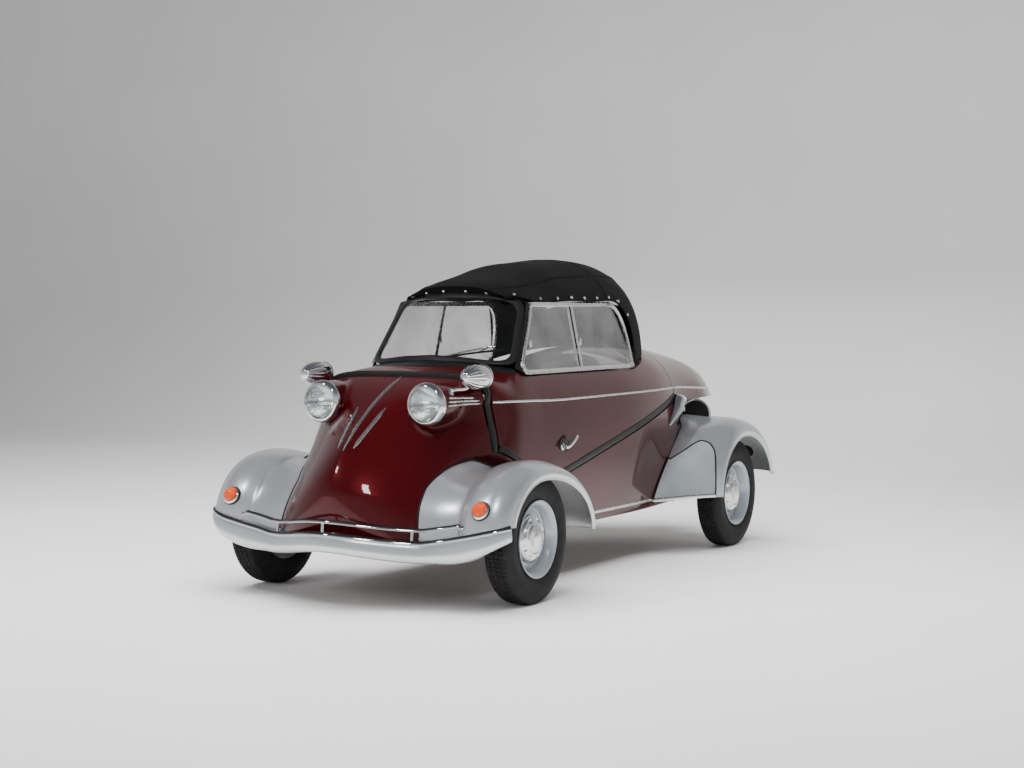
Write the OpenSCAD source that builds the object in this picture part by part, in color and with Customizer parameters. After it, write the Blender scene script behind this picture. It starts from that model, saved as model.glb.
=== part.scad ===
// Tandem two-seat bubble car with four wheels, a side-hinged glazed lid and a rear engine.
// Front is -Y, the car's left side is +X, up is +Z, and the tyres stand on z = 0.

/* [Body] */
// Height of the bottom edge of the body
sill_z = 205; // [190:1:225]
// Half width of the body amidships
body_hw = 420; // [400:1:430]
// Foremost point of the nose
nose_y = -1435; // [-1450:1:-1415]
// Rearmost point of the tail
tail_y = 1500; // [1440:1:1540]
// Thickness of the body and lid walls
wall = 22; // [12:1:30]
// Width of the rubber seal between body and lid
seal_w = 28; // [20:1:36]
// Gap at each edge of a moving panel
shut_gap = 6; // [5:0.5:9]

/* [Wheels] */
// Position of the front axle
front_axle_y = -1000; // [-1020:1:-980]
// Position of the rear axle
rear_axle_y = 890; // [870:1:910]
// Half of the front track
front_half_track = 555; // [545:1:560]
// Half of the rear track
rear_half_track = 520; // [510:1:530]
// Outer radius of the tyres
tyre_r = 235.6; // [225:0.1:240]
// Width of the tyres
tyre_w = 112; // [100:1:116]
// Radius of the rim at the bead seat
rim_r = 127; // [120:1:130]

/* [Fenders] */
// Thickness of the fender skin
skin = 8; // [6:1:14]
// Outermost point of the front fenders
front_fender_x = 645; // [640:1:655]
// Outermost point of the rear fenders
rear_fender_x = 622; // [615:1:635]

/* [Lid] */
// Plane where the nose ends and the lid begins
lid_front_y = -954; // [-960:1:-945]
// Height of the lid's hinge axis
hinge_z = 730; // [722:1:740]
// Bottom of the side windows
window_low_z = 806; // [800:1:815]
// Top of the side windows
window_top_z = 1082; // [1060:1:1100]
// Height of the soft top at its crown
hood_top_z = 1258; // [1230:1:1280]

/* [Hidden] */
$fn = 48;

// ---------- helpers ----------
function lerp(a, b, t) = a + (b - a) * t;
function clamp01(t) = min(1, max(0, t));
function smooth(t) = let (c = clamp01(t)) c * c * (3 - 2 * c);
function steps(n) = [for (i = [0:n]) i / n];
function reversed(v) = [for (i = [len(v) - 1:-1:0]) v[i]];
// One quarter of a superellipse: the other ordinate for ordinate t, both from 0 to 1
function superell(t, n) = pow(max(0, 1 - pow(min(1, abs(t)), n)), 1 / n);

// A closed solid through rings of equal count, with a fan at each end
module loft(rings) {
    n = len(rings[0]);
    m = len(rings);
    ends = [for (k = [0, m - 1]) let (s = [for (p = rings[k]) 1] * rings[k]) s / n];
    points = concat([for (r = rings) for (p = r) p], ends);
    sides = [for (i = [0:m - 2]) for (j = [0:n - 1]) let (k = (j + 1) % n)
        each [[i * n + j, i * n + k, (i + 1) * n + k], [i * n + j, (i + 1) * n + k, (i + 1) * n + j]]];
    first = [for (j = [0:n - 1]) [m * n, (j + 1) % n, j]];
    last = [for (j = [0:n - 1]) [m * n + 1, (m - 1) * n + j, (m - 1) * n + (j + 1) % n]];
    polyhedron(points, concat(sides, first, last), convexity = 10);
}

// A closed sheet between an outer and an inner grid of points, both rows by columns.
// The cells of rows hole[0] to hole[1] and columns hole[2] to hole[3] are left open.
module sheet(outer, inner, hole = [1, 0, 1, 0]) {
    m = len(outer);
    n = len(outer[0]);
    o = m * n;
    function kept(i, j) = i >= 0 && i < m - 1 && j >= 0 && j < n - 1
        && !(i >= hole[0] && i <= hole[1] && j >= hole[2] && j <= hole[3]);
    function wall_of(a, b) = [[a, o + b, b], [a, o + a, o + b]];
    faces = [for (i = [0:m - 2]) for (j = [0:n - 2]) if (kept(i, j)) let (a = i * n + j)
        each concat(
            [[a, a + 1, a + n + 1], [a, a + n + 1, a + n],
             [o + a, o + a + n + 1, o + a + 1], [o + a, o + a + n, o + a + n + 1]],
            kept(i - 1, j) ? [] : wall_of(a, a + 1),
            kept(i + 1, j) ? [] : wall_of(a + n + 1, a + n),
            kept(i, j - 1) ? [] : wall_of(a + n, a),
            kept(i, j + 1) ? [] : wall_of(a + 1, a + n + 1))];
    polyhedron([for (g = [outer, inner]) for (r = g) for (q = r) q], faces, convexity = 10);
}

// A round bar of radius r along a list of points
module bar(path, r, sides = 10) {
    n = len(path);
    loft([for (i = [0:n - 1])
        let (d = path[min(n - 1, i + 1)] - path[max(0, i - 1)],
             t = d / norm(d),
             up = abs(t[2]) > 0.9 ? [1, 0, 0] : [0, 0, 1],
             u = cross(t, up) / norm(cross(t, up)),
             v = cross(t, u))
        [for (k = [0:sides - 1]) path[i] + r * (cos(360 * k / sides) * u - sin(360 * k / sides) * v)]]);
}

module both_sides() {
    children();
    mirror([1, 0, 0]) children();
}

// ---------- master surface of the body ----------
belly_z = 500;      // height where the sides are widest
pole_y = -790;      // where the plan view of the nose starts to narrow
taper_y = 100;      // where the plan view of the tail starts to narrow
cowl_z = 843;       // crown of the hood at the cowl
shoulder_z = 900;   // virtual crown of the sides under the windows
nose_reach = pole_y - nose_y;
well_r = 290;       // radius of the pressed well behind each front wheel
well_d = 50;        // depth of that well

function plan_hw(y) = y < taper_y ? body_hw
    : body_hw * pow(max(0, 1 - pow((y - taper_y) / (tail_y + 12 - taper_y), 2)),
        0.65 - 0.33 * smooth((y - 650) / 500) * (1 - smooth((y - 1350) / 150)));
function crown_z(y) =
    y < 500 ? lerp(cowl_z, shoulder_z, smooth((y - pole_y) / 190))
    : shoulder_z - 110 * pow((y - 500) / 910, 1.6) - 60 * smooth((y - 1380) / 120);
function crown_n(y) = y < 0 ? lerp(3.8, 3, smooth((y - pole_y) / 190)) : lerp(3, 2.4, smooth((y - 500) / 600));
function well(y, z) =
    let (d = norm([y - front_axle_y, z - tyre_r]) / well_r)
    d < 1 ? well_d * (1 - pow(d, 6)) : 0;
// Order of the nose's plan: pointed below the headlights, blunt at the cowl and at the sill
function nose_n(z) = 1.27 + 1.53 * pow((635 - z) / (z < 635 ? 360 : 122), 2);
function tuck(z) = z < belly_z ? 1 - 0.035 * pow((belly_z - z) / 300, 2) : 1;
function nose_len(z) = z > 400 ? nose_reach * superell((z - 400) / (cowl_z - 400), 1.5)
    : nose_reach * (1 - pow((400 - z) / 770, 2));
function nose_taper(y, z) = let (u = clamp01((pole_y - y) / max(0.001, nose_len(z))), n = nose_n(z))
    pow(1 - pow(u, max(n, 1.8)), 1 / n);
// Half width of the body at a place along it and a height
function side_x(y, z) =
    let (top = crown_z(max(y, pole_y)),
         f = z > belly_z ? (z >= top ? 0 : superell((z - belly_z) / (top - belly_z), crown_n(max(y, pole_y)))) : tuck(z))
    max(0, plan_hw(y) * f * nose_taper(y, z) - well(y, z));

// Height of the underside: level amidships, rising at the tail
function keel_z(y) = sill_z + 330 * pow(clamp01((y - 1100) / 400), 1.4);
axis_z = 470;
// Distance from the body's axis to its skin, at section angle a from the top
function skin_r(y, a, lo = 0, hi = 700, k = 14) =
    k == 0 ? (lo + hi) / 2
    : let (mid = (lo + hi) / 2, x = mid * sin(a), z = axis_z + mid * cos(a),
           inside = z > keel_z(y) && abs(x) < side_x(y, z))
      inside ? skin_r(y, a, mid, hi, k - 1) : skin_r(y, a, lo, mid, k - 1);
function skin_pt(y, a, inset = 0) = let (r = skin_r(y, a) - inset) [r * sin(a), y, axis_z + r * cos(a)];

// ---------- nose ----------
nose_cols = 44;
nose_rows = 13;
// Distance from the middle of the seam plane to the skin of the nose
function nose_r(a, e, lo = 0, hi = 900, k = 14) =
    k == 0 ? (lo + hi) / 2
    : let (mid = (lo + hi) / 2, x = mid * sin(a) * cos(e), y = lid_front_y - mid * sin(e),
           z = axis_z + mid * cos(a) * cos(e),
           inside = z > sill_z && abs(x) < side_x(y, z))
      inside ? nose_r(a, e, mid, hi, k - 1) : nose_r(a, e, lo, mid, k - 1);
function nose_ring(e, inset) = [for (k = [0:nose_cols - 1])
    let (a = 360 * k / nose_cols, r = nose_r(a, e) - inset)
    [r * sin(a) * cos(e), lid_front_y - r * sin(e), axis_z + r * cos(a) * cos(e)]];
nose_angles = [for (t = steps(nose_rows)) 88 * (1 - pow(1 - t, 1.2))];

module nose_shell() {
    color("#5a1219") loft(concat(
        [for (e = reversed(nose_angles)) reversed(nose_ring(e, 0))],
        [for (e = nose_angles) reversed(nose_ring(e, wall))]));
}

// ---------- tub ----------
tub_front_y = lid_front_y;
rear_cut_y = 680;       // plane where the lid ends and the engine cover begins
vee_slope = 0.213;      // rise of the lid's diagonal lower edge
vee_z = 671;            // height of the diagonal at its rear end
arc_r = 322;            // radius of the lid's lower edge over the front fender
lid_y0 = lid_front_y + shut_gap + seal_w;
lid_y1 = rear_cut_y - shut_gap / 2;
function diagonal_z(y) = vee_z - vee_slope * (rear_cut_y - y);
function arc_z(y) = abs(y - front_axle_y) < arc_r ? tyre_r + sqrt(arc_r * arc_r - pow(y - front_axle_y, 2)) : 0;
// Lower edge of the lid's left panel
function lid_edge_z(y) = max(diagonal_z(y), arc_z(y)) + seal_w / 2;
// Upper edge of the tub's left side
function tub_edge_z(y) = lid_edge_z(y) - seal_w - shut_gap;
right_edge_z = hinge_z - shut_gap / 2;

vee_y = -711;           // where the arc over the fender meets the diagonal
edge_ys = concat([for (t = steps(9)) lerp(lid_y0, vee_y, t)], [for (k = [1:13]) lerp(vee_y, lid_y1, k / 13)]);
tub_ys = concat([tub_front_y], edge_ys, [rear_cut_y]);
// One side of the tub's section, from its upper edge down and in under the floor
function tub_half(y, s, top, inset) = concat(
    [for (t = steps(6)) let (z = lerp(top, sill_z + 30, t)) [s * (side_x(y, z) - inset), y, z]],
    [[s * (side_x(y, sill_z) - 12 - inset / 2), y, sill_z + 6 + inset / 2], [s * 200, y, sill_z + inset]]);
function tub_line(y, inset) = concat(
    tub_half(y, 1, tub_edge_z(y), inset),
    [[0, y, sill_z + inset]],
    reversed(tub_half(y, -1, right_edge_z, inset)));

module tub() {
    color("#5a1219") sheet([for (y = tub_ys) reversed(tub_line(y, 0))], [for (y = tub_ys) reversed(tub_line(y, wall))]);
}

// ---------- tail and engine cover ----------
cover_z = 645;          // lower edge of the engine cover
tail_end_y = 1368;
tail_lift = 130;        // how far the tail's lower edge rises to clear the axle
function tail_in(y) = 34 * smooth((y - rear_cut_y - 60) / 90);
function tail_low(y) = sill_z + tail_lift * smooth((y - rear_cut_y - 10) / 110);
// Point of the tail's wall: t runs from the left front corner round the rear to the right front, z over its height
function tail_pt(t, u, inset) =
    let (a = 180 * t - 90, y0 = rear_cut_y, len_y = tail_end_y - y0 - inset,
         y = y0 + len_y * pow(cos(a), 0.45),
         z = lerp(cover_z - shut_gap / 2, tail_low(y), u),
         x = (side_x(y, z) - tail_in(y) - inset) * pow(abs(sin(a)), 0.3))
    [-sign(a) * x, y, z];
tail_cols = 40;
tail_rows = 6;
module tail_shell() {
    color("#5a1219") sheet(
        [for (i = [0:tail_rows]) [for (k = [0:tail_cols]) tail_pt(k / tail_cols, i / tail_rows, 0)]],
        [for (i = [0:tail_rows]) [for (k = [0:tail_cols]) tail_pt(k / tail_cols, i / tail_rows, wall)]]);
}

cover_y0 = rear_cut_y + shut_gap / 2;
cover_ys = [for (t = steps(22)) lerp(cover_y0, tail_y, 1 - pow(1 - t, 1.4))];
cover_cols = 24;
// Lowest section angle of the engine cover, where its lower edge lies
function edge_angle(y, z) = let (x = side_x(y, z)) atan2(x, z - axis_z);
function cover_edge(y) = lerp(cover_z, 600, smooth((y - 1400) / 100));
function cover_line(y, inset) = let (z = cover_edge(y), a = atan2(max(1, side_x(y, z) - inset), z - axis_z))
    [for (k = [0:cover_cols]) skin_pt(y, lerp(a, -a, k / cover_cols), inset)];
module engine_cover() {
    color("#5a1219") sheet([for (y = cover_ys) cover_line(y, 0)], [for (y = cover_ys) cover_line(y, min(14, wall))]);
}

// ---------- glasshouse ----------
screen_low = [321, -674, 834];      // lower corner of the windscreen
screen_top = [274, -508, 1088];     // upper corner
screen_low_bow = [86, 27];         // how far the middle of its base stands ahead of and above the corners
screen_top_bow = [68, 25];
function screen_pt(c, s) = let (a = screen_low, b = screen_top)
    [c * lerp(a[0], b[0], s),
     lerp(a[1] - screen_low_bow[0] * (1 - c * c), b[1] - screen_top_bow[0] * (1 - c * c), s),
     lerp(a[2] + screen_low_bow[1] * (1 - c * c), b[2] + screen_top_bow[1] * (1 - c * c), s)];
function unit(v) = v / norm(v);
function screen_normal(c, s) = unit(cross(screen_pt(c, s + 0.01) - screen_pt(c, s), screen_pt(c + 0.01, s) - screen_pt(c, s)));
glass_t = 5;
module windscreen_glass() {
    ss = [for (t = steps(8)) 0.5 - 0.44 * cos(180 * t)];
    cs = [for (t = steps(20)) 2 * t - 1];
    function row(side) = [for (s = ss) let (m = 0.945 * superell((2 * s - 1) / 0.945, 8))
        [for (c = cs) screen_pt(c * m, s) + screen_normal(c * m, s) * side * glass_t / 2]];
    color("#9fb4b8") sheet(row(1), row(-1));
}

// A closed hoop: rings of equal count joined end to start
module hoop(rings) {
    n = len(rings[0]);
    m = len(rings);
    polyhedron([for (r = rings) for (p = r) p],
        [for (i = [0:m - 1]) for (j = [0:n - 1]) let (k = (j + 1) % n, h = (i + 1) % m)
            each [[i * n + j, i * n + k, h * n + k], [i * n + j, h * n + k, h * n + j]]], convexity = 10);
}

// Points round a rectangle from -1 to 1 with rounded corners, as a superellipse of order q
function squircle(count, q) = [for (k = [0:count - 1]) let (a = 360 * k / count, c = cos(a), s = sin(a))
    [sign(c) * pow(abs(c), 2 / q), sign(s) * pow(abs(s), 2 / q)]];
frame_w = 17;
frame_t = 14;
module windscreen_frame() {
    ring = squircle(64, 8);
    color("#16181a") hoop([for (p = reversed(ring))
        let (c = p[0], s = (p[1] + 1) / 2,
             q = screen_pt(c, s), n = screen_normal(c, s),
             w = unit(screen_pt(c * 0.93, lerp(0.5, s, 0.9)) - q))
        [q + n * frame_t / 2, q + w * frame_w + n * frame_t / 2, q + w * frame_w + n * (glass_t / 2 + 0.3),
         q + w * frame_w * 0.6 + n * (glass_t / 2 + 0.3), q + w * frame_w * 0.6 - n * (glass_t / 2 + 0.3),
         q + w * frame_w - n * (glass_t / 2 + 0.3), q + w * frame_w - n * frame_t / 2, q - n * frame_t / 2]]);
}

// ---------- side windows ----------
win_x0 = 346;           // half width of the glasshouse at the window's bottom
win_x1 = 290;           // and at its top
win_front = -648;       // lower front corner
win_front_top = -520;   // upper front corner
hood_y0 = 140;          // where the hood's rear dome begins
hood_z0 = 800;          // base plane of the dome
win_rear = 300;         // lower rear corner
// Reach of the window's rear end from the dome's centre, at angle b above level
function win_reach(b) = pow(pow(max(0, cos(b)) / (win_rear - hood_y0), 2.6) + pow(max(0, sin(b)) / (window_top_z - hood_z0), 2.6), -1 / 2.6);
function on_window(y, z, out = 0) = let (t = (z - window_low_z) / (window_top_z - window_low_z))
    [lerp(win_x0, win_x1, t) + out, y, z];
function window_loop(inset) = let (r = 34 - inset / 2, low = window_low_z + inset, top = window_top_z - inset)
    concat(
        [for (b = [0:9:90]) let (k = win_reach(b) - inset) [hood_y0 + k * cos(b), max(low, hood_z0 + k * sin(b))]],
        [for (a = [0:30:90]) [win_front_top + inset + r - r * sin(a), top - r + r * cos(a)]],
        [for (a = [0:30:90]) [win_front + inset + r - r * cos(a), low + r - r * sin(a)]],
        [for (a = [15:25:65]) [win_rear - inset - r + r * sin(a), low + r - r * cos(a)]]);
module side_frame() {
    outer = window_loop(0);
    inner = window_loop(16);
    n = len(outer);
    hoop([for (i = [0:n - 1]) let (a = outer[i], b = inner[i])
        [on_window(a[0], a[1], 6), on_window(b[0], b[1], 6), on_window(b[0], b[1], -6), on_window(a[0], a[1], -6)]]);
}
module side_window_frames() {
    color("#c9ccce") both_sides() side_frame();
}
module side_glass() {
    edge = window_loop(24);
    loft([[for (p = edge) on_window(p[0], p[1], 2.5)], [for (p = edge) on_window(p[0], p[1], -2.5)]]);
}
module side_window_glass() {
    color("#8fa3a6") both_sides() side_glass();
}

// ---------- soft top ----------
hood_a = 356;           // half width of the dome at its base
hood_q = 2.6;
hood_len = 500;         // reach of the dome behind hood_y0
hood_front = -524;
hood_t = 8;
function hood_edge(y) = window_top_z + 9 + 16 * smooth((-410 - y) / 90);
hood_bow = screen_top_bow[0];   // how far the middle of the front edge stands ahead of its ends
function hood_shear(x, y) = hood_bow * (1 - pow(x / hood_a, 2)) * smooth((-250 - y) / 270);
function hood_crown(y) = hood_top_z - (y < 150 ? 128 * pow((150 - y) / 710, 2.2) : 0);
function hood_h(b) = pow(pow(max(0, cos(b)) / hood_len, hood_q) + pow(max(0, sin(b)) / (hood_crown(hood_y0) - hood_z0), hood_q), -1 / hood_q);
hood_cols = 28;
// A line across the hood in a plane through the base axis: h is its crown, e its edge
function hood_line(y, dy, dz, h, e, off) = let (edge = acos(pow(e / h, hood_q / 2)))
    [for (k = [0:hood_cols]) let (t = lerp(edge, -edge, k / hood_cols),
        x = sign(t) * hood_a * pow(abs(sin(t)), 2 / hood_q), r = h * pow(cos(t), 2 / hood_q),
        shrink = (h - off) / h)
        [x * (hood_a - off) / hood_a, y + dy * r * shrink - (dy == 0 ? hood_shear(x, y) : 0), hood_z0 + dz * r * shrink]];
function hood_rows(off) = concat(
    [for (t = steps(14)) let (y = lerp(hood_front, hood_y0, t)) hood_line(y, 0, 1, hood_crown(y) - hood_z0, hood_edge(y) - hood_z0, off)],
    [for (b = [82:-8:10]) hood_line(hood_y0, cos(b), sin(b), hood_h(b), win_reach(b) + 9, off)]);
hood_hole = [20, 23, 8, hood_cols - 9];    // rows and columns of the rear window
module soft_top() {
    color("#17181a") sheet(hood_rows(0), hood_rows(hood_t), hood_hole);
}
function cut_rows(g) = [for (i = [hood_hole[0]:hood_hole[1] + 1]) [for (j = [hood_hole[2]:hood_hole[3] + 1]) g[i][j]]];
module rear_window() {
    color("#a9b8ba") scale_about_hole() sheet(cut_rows(hood_rows(2.5)), cut_rows(hood_rows(4.5)));
}
// The pane is drawn in a little from its opening
module scale_about_hole() {
    c = hood_line(hood_y0, cos(26), sin(26), hood_h(26), win_reach(26), 3)[hood_cols / 2];
    translate(c) scale(0.997) translate(-c) children();
}

// ---------- lid panel ----------
base_z = window_low_z - 6.3;         // upper edge of the lid panel under the windows
// Skin point for a height on the left or right side
function side_pt(y, z, s) = [s * side_x(y, z), y, z];
function angle_of(p) = atan2(p[0], p[2] - axis_z);
// Inner edge of the lid panel, from the middle of the cowl round the left side to the middle of the rear
lid_n_front = 10;
lid_n_side = 22;
lid_n_rear = 10;
hood_base_h = hood_h(10);
function hood_base(t) = let (x = hood_a * 0.985 * cos(t)) [x, hood_y0 + 4 + hood_base_h * 1.01 * superell(cos(t), hood_q) * cos(10), 0];
lid_inner = concat(
    [for (k = [0:lid_n_front]) let (c = k / lid_n_front, q = screen_pt(c, 0), up = unit(screen_pt(c, 0.05) - q))
        q - up * (0.6 + 6 * c * c * c * c) + screen_normal(c, 0) * 6],
    [for (k = [1:lid_n_side]) let (y = lerp(screen_low[1] + 30, win_rear + 20, k / lid_n_side)) [side_x(y, base_z) - 1, y, base_z]],
    [for (k = [1:lid_n_rear]) let (t = lerp(22, 90, k / lid_n_rear), b = hood_base(t)) [b[0], b[1], axis_z + 0]]);
lid_outer_left = concat(
    [for (k = [0:lid_n_front]) let (c = k / lid_n_front) [skin_pt(lid_y0, c * edge_angle(lid_y0, lid_edge_z(lid_y0)))[0], lid_y0,
        skin_pt(lid_y0, c * edge_angle(lid_y0, lid_edge_z(lid_y0)))[2]]],
    [for (k = [1:lid_n_side]) side_pt(edge_ys[k], lid_edge_z(edge_ys[k]), 1)],
    [for (k = [1:lid_n_rear]) skin_pt(lid_y1, lerp(edge_angle(lid_y1, lid_edge_z(lid_y1)), 0, k / lid_n_rear))]);
lid_outer_right = concat(
    [for (k = [0:lid_n_front]) skin_pt(lid_y0, -k / lid_n_front * edge_angle(lid_y0, hinge_z + shut_gap / 2))],
    [for (k = [1:lid_n_side]) side_pt(edge_ys[k], hinge_z + shut_gap / 2, -1)],
    [for (k = [1:lid_n_rear]) skin_pt(lid_y1, -lerp(edge_angle(lid_y1, hinge_z + shut_gap / 2), 0, k / lid_n_rear))]);
lid_cols = 8;
lid_wall = min(16, wall);
// Column of points from inner edge p to outer edge q, following the skin; the rear part of p has no height of its own
function lid_column(p, q, inset) =
    let (rear = p[2] == axis_z,
         low_edge = q[2] < 0.5 + (q[0] > 0 ? lid_edge_z(q[1]) : hinge_z + shut_gap / 2),
         a0 = rear ? rear_angle(p) : angle_of(p),
         a1 = atan2(q[0] - sign(q[0]) * (low_edge ? inset : 0), q[2] - axis_z),
         top = rear ? skin_pt(p[1], a0) : p,
         lift = norm([top[0], top[2] - axis_z]) - skin_r(p[1], a0))
    [for (k = [0:lid_cols]) let (t = k / lid_cols, y = lerp(p[1], q[1], t), a = lerp(a0, a1, t),
         r = skin_r(y, a) + lift * pow(1 - t, 2) - inset)
        [r * sin(a), y, axis_z + r * cos(a)]];
// Section angle of the skin point with a given half width, near the top of the body
function rear_angle(p, lo = 0, hi = 60, k = 14) = k == 0 ? sign(p[0]) * (lo + hi) / 2
    : let (mid = (lo + hi) / 2, x = skin_r(p[1], mid) * sin(mid))
      x < abs(p[0]) ? rear_angle(p, mid, hi, k - 1) : rear_angle(p, lo, mid, k - 1);
function flip(p) = [-p[0], p[1], p[2]];
lid_pairs = concat([for (i = [0:len(lid_inner) - 1]) [lid_inner[i], lid_outer_left[i]]],
    [for (i = [len(lid_inner) - 2:-1:1]) [flip(lid_inner[i]), lid_outer_right[i]]]);
module lid_panel() {
    color("#5a1219") hoop([for (c = reversed(lid_pairs))
        concat(lid_column(c[0], c[1], 0), reversed(lid_column(c[0], c[1], lid_wall)))]);
}

// Rubber seal along the front and the left lower edge of the lid
seal_t = 12;
seal_front = concat(
    [for (k = [0:16]) let (a = lerp(-edge_angle(lid_y0, hinge_z + 12), edge_angle(lid_y0, lid_edge_z(lid_y0) - seal_w + 4), k / 16))
        [skin_pt(lid_y0 - seal_w, a), skin_pt(lid_y0 - 0.3, a)]]);
seal_side = [for (y = edge_ys)
    [side_pt(y, lid_edge_z(y) - seal_w, 1), side_pt(y, lid_edge_z(y) - 0.3, 1)]];
function pushed(p, d) = let (r = norm([p[0], p[2] - axis_z])) [p[0] * (r + d) / r, p[1], axis_z + (p[2] - axis_z) * (r + d) / r];
function seal_ring(c) = [pushed(c[0], 3), pushed(c[1], 3), pushed(c[1], 3 - seal_t), pushed(c[0], 3 - seal_t)];
function side_ring(c) = [c[0] + [3, 0, 0], c[1] + [3, 0, 0], c[1] + [3 - seal_t, 0, 0], c[0] + [3 - seal_t, 0, 0]];
module lid_seal() {
    color("#15171a") {
        loft([for (c = seal_front) seal_ring(c)]);
        loft([for (c = seal_side) side_ring(c)]);
    }
}

// ---------- fenders ----------
fender_rows = 20;
// Point of a fender: around axle centre c, with row [x, front reach, rear reach, rise, order] at angle p from level front
function arc_pt(c, row, p) = let (a = p < 90 ? row[1] : row[2], n = p < 90 ? row[4] : 2)
    [row[0], c - sign(cos(p)) * a * pow(abs(cos(p)), 2 / n), tyre_r + row[3] * pow(max(0, sin(p)), 2 / n)];
front_rows = [
    [front_fender_x - 6, 239, 362, 216, 2],
    [front_fender_x, 250, 372, 236, 2],
    [front_fender_x - 10, 280, 378, 258, 2.05],
    [front_fender_x - 45, 308, 384, 274, 2.15],
    [560, 319, 385, 281, 2.2],
    [500, 315, 382, 275, 2.2],
    [458, 302, 375, 262, 2.15],
    [436, 296, 362, 250, 2.1]];
web_row = [0, 318, 360, 277, 2];
web_end = 92;           // angle at which the inner web leaves the nose
function web_pt(p) = let (q = arc_pt(front_axle_y, web_row, min(p, web_end)), r = arc_pt(front_axle_y, [434, 300, 360, 242, 2], p),
        b = [side_x(q[1], q[2]) + 1.9, q[1], q[2]])
    p <= web_end - 8 ? b : lerp(b, r, smooth((p - web_end + 8) / 10));
function mid_pt(a, b, sag) = (a + b) / 2 - [0, 0, sag];
// Height of the bumper's upper face below a point of the fender
function bumper_over(x) = blade_top(x) + 8;
function low_angle(x, rise) = asin((bumper_over(x) - tyre_r) / rise);
function front_line(t) = let (p = lerp(9, 179, t),
        rows = [for (r = front_rows) arc_pt(front_axle_y, r, lerp(low_angle(r[0], r[3]), 179, t))],
        w = web_pt(lerp(low_angle(300, web_row[3]), 179, t)))
    concat(rows, [mid_pt(rows[7], w, p < web_end ? 10 : 0)], [w]);
// Grid drawn in by the skin thickness, towards a point on the axle
function inner_of(g, c, x0) = [for (r = g) [for (q = r) let (d = unit([x0 - q[0], 0.9 * (c - q[1]), 0.9 * (tyre_r - q[2])])) q + skin * d]];
module front_fender() {
    g = [for (t = steps(fender_rows)) front_line(t)];
    sheet(g, inner_of(g, front_axle_y, 470));
}
module front_fender_left() {
    color("#b9bcc0") front_fender();
}
module front_fender_right() {
    color("#b9bcc0") mirror([1, 0, 0]) front_fender();
}

rear_rows = [
    [rear_fender_x - 6, 262, 300, 256, 2],
    [rear_fender_x, 276, 310, 280, 2],
    [rear_fender_x - 12, 288, 318, 305, 2],
    [rear_fender_x - 50, 325, 322, 325, 1.9],
    [525, 380, 322, 334, 1.8],
    [470, 440, 320, 336, 1.6],
    [425, 490, 318, 337, 1.4]];
rear_web_row = [0, 516, 318, 350, 1.25];
function rear_web(p) = let (q = arc_pt(rear_axle_y, rear_web_row, p)) [side_x(q[1], q[2]) - tail_gap(q[1]) + 10.9, q[1], q[2]];
function tail_gap(y) = y > rear_cut_y ? tail_in(y) : 0;
function rear_line(p) = concat([for (r = rear_rows) arc_pt(rear_axle_y, r, p)],
    [mid_pt(arc_pt(rear_axle_y, rear_rows[6], p), rear_web(p), 0)], [rear_web(p)]);
module rear_fender() {
    g = [for (t = steps(fender_rows)) rear_line(lerp(2, 166, t))];
    sheet(g, inner_of(g, rear_axle_y, 440));
}
module rear_fender_left() {
    color("#b9bcc0") rear_fender();
}
module rear_fender_right() {
    color("#b9bcc0") mirror([1, 0, 0]) rear_fender();
}

// ---------- front bumper ----------
bumper_front = -1500;
bumper_hw = front_fender_x + 6;
// Front line of the blade in plan: a prow that follows the nose, level before the fenders, swept back at the ends
function bumper_pt(x) = let (u = abs(x))
    [x, bumper_front + 168 * smooth(u / 430) + 64 * pow(max(0, u - 540) / 111, 2.2), 0];
function blade_top(x) = let (u = abs(x)) 270 - 29 * smooth(u / 330) + 65 * pow(max(0, u - 330) / 325, 1.15);
function blade_low(x) = let (u = abs(x)) 204 - 36 * smooth(u / 330) + 90 * pow(max(0, u - 400) / 255, 1.9);
blade_profile = [[30, 0], [13, 0.03], [4, 0.16], [0, 0.35], [3, 0.62], [10, 0.86], [20, 0.98], [31, 1]];
module front_bumper() {
    function inward(x) = let (d = unit(bumper_pt(x + 1) - bumper_pt(x - 1))) [-d[1], d[0], 0];
    function line(x, off) = [for (q = blade_profile)
        bumper_pt(x) + inward(x) * (q[0] * (1 - 0.5 * pow(abs(x) / bumper_hw, 8)) + off * (q[0] < 25 ? 1 : 0.3))
            + [0, 0, lerp(blade_low(x), blade_top(x), q[1]) - off * sign(q[1] - 0.5) * (q[0] > 8 ? 1 : 0)]];
    xs = [for (t = steps(36)) lerp(-bumper_hw, bumper_hw, t)];
    color("#b9bcc0") sheet([for (x = xs) line(x, 0)], [for (x = xs) line(x, skin)]);
}

// ---------- lights and mirrors ----------
lamp_x = 228;
lamp_y = -1145.5;        // plane of the headlight rims
lamp_z = 714;
lamp_r = 72;
pod_r = 77;
pod_end_y = -885;
function pod_pt(k, y, rho = 1) = let (t = (y - lamp_y) / (pod_end_y - lamp_y), r = rho * pod_r * superell(t, 2.2))
    [lamp_x + 24 * t + r * sin(k), y, lamp_z + 8 * t + r * cos(k)];
function outside(q) = q[2] > sill_z && q[0] > side_x(q[1], q[2]) + 8;
function pod_end(k, rho = 1, lo = lamp_y + 1, hi = lid_front_y - 4, n = 12) = n == 0 ? lo
    : let (mid = (lo + hi) / 2) outside(pod_pt(k, mid, rho)) ? pod_end(k, rho, mid, hi, n - 1) : pod_end(k, rho, lo, mid, n - 1);
module headlight_pod() {
    ks = [for (i = [0:23]) -15 * i];
    loft(concat([for (t = steps(4)) [for (k = ks) pod_pt(k, lerp(lamp_y, pod_end(k), t))]],
        [for (rho = [0.8, 0.6, 0.4, 0.2]) [for (k = ks) pod_pt(k, pod_end(k, rho), rho)]]));
}
module headlight_pods() {
    color("#5a1219") both_sides() headlight_pod();
}
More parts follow.
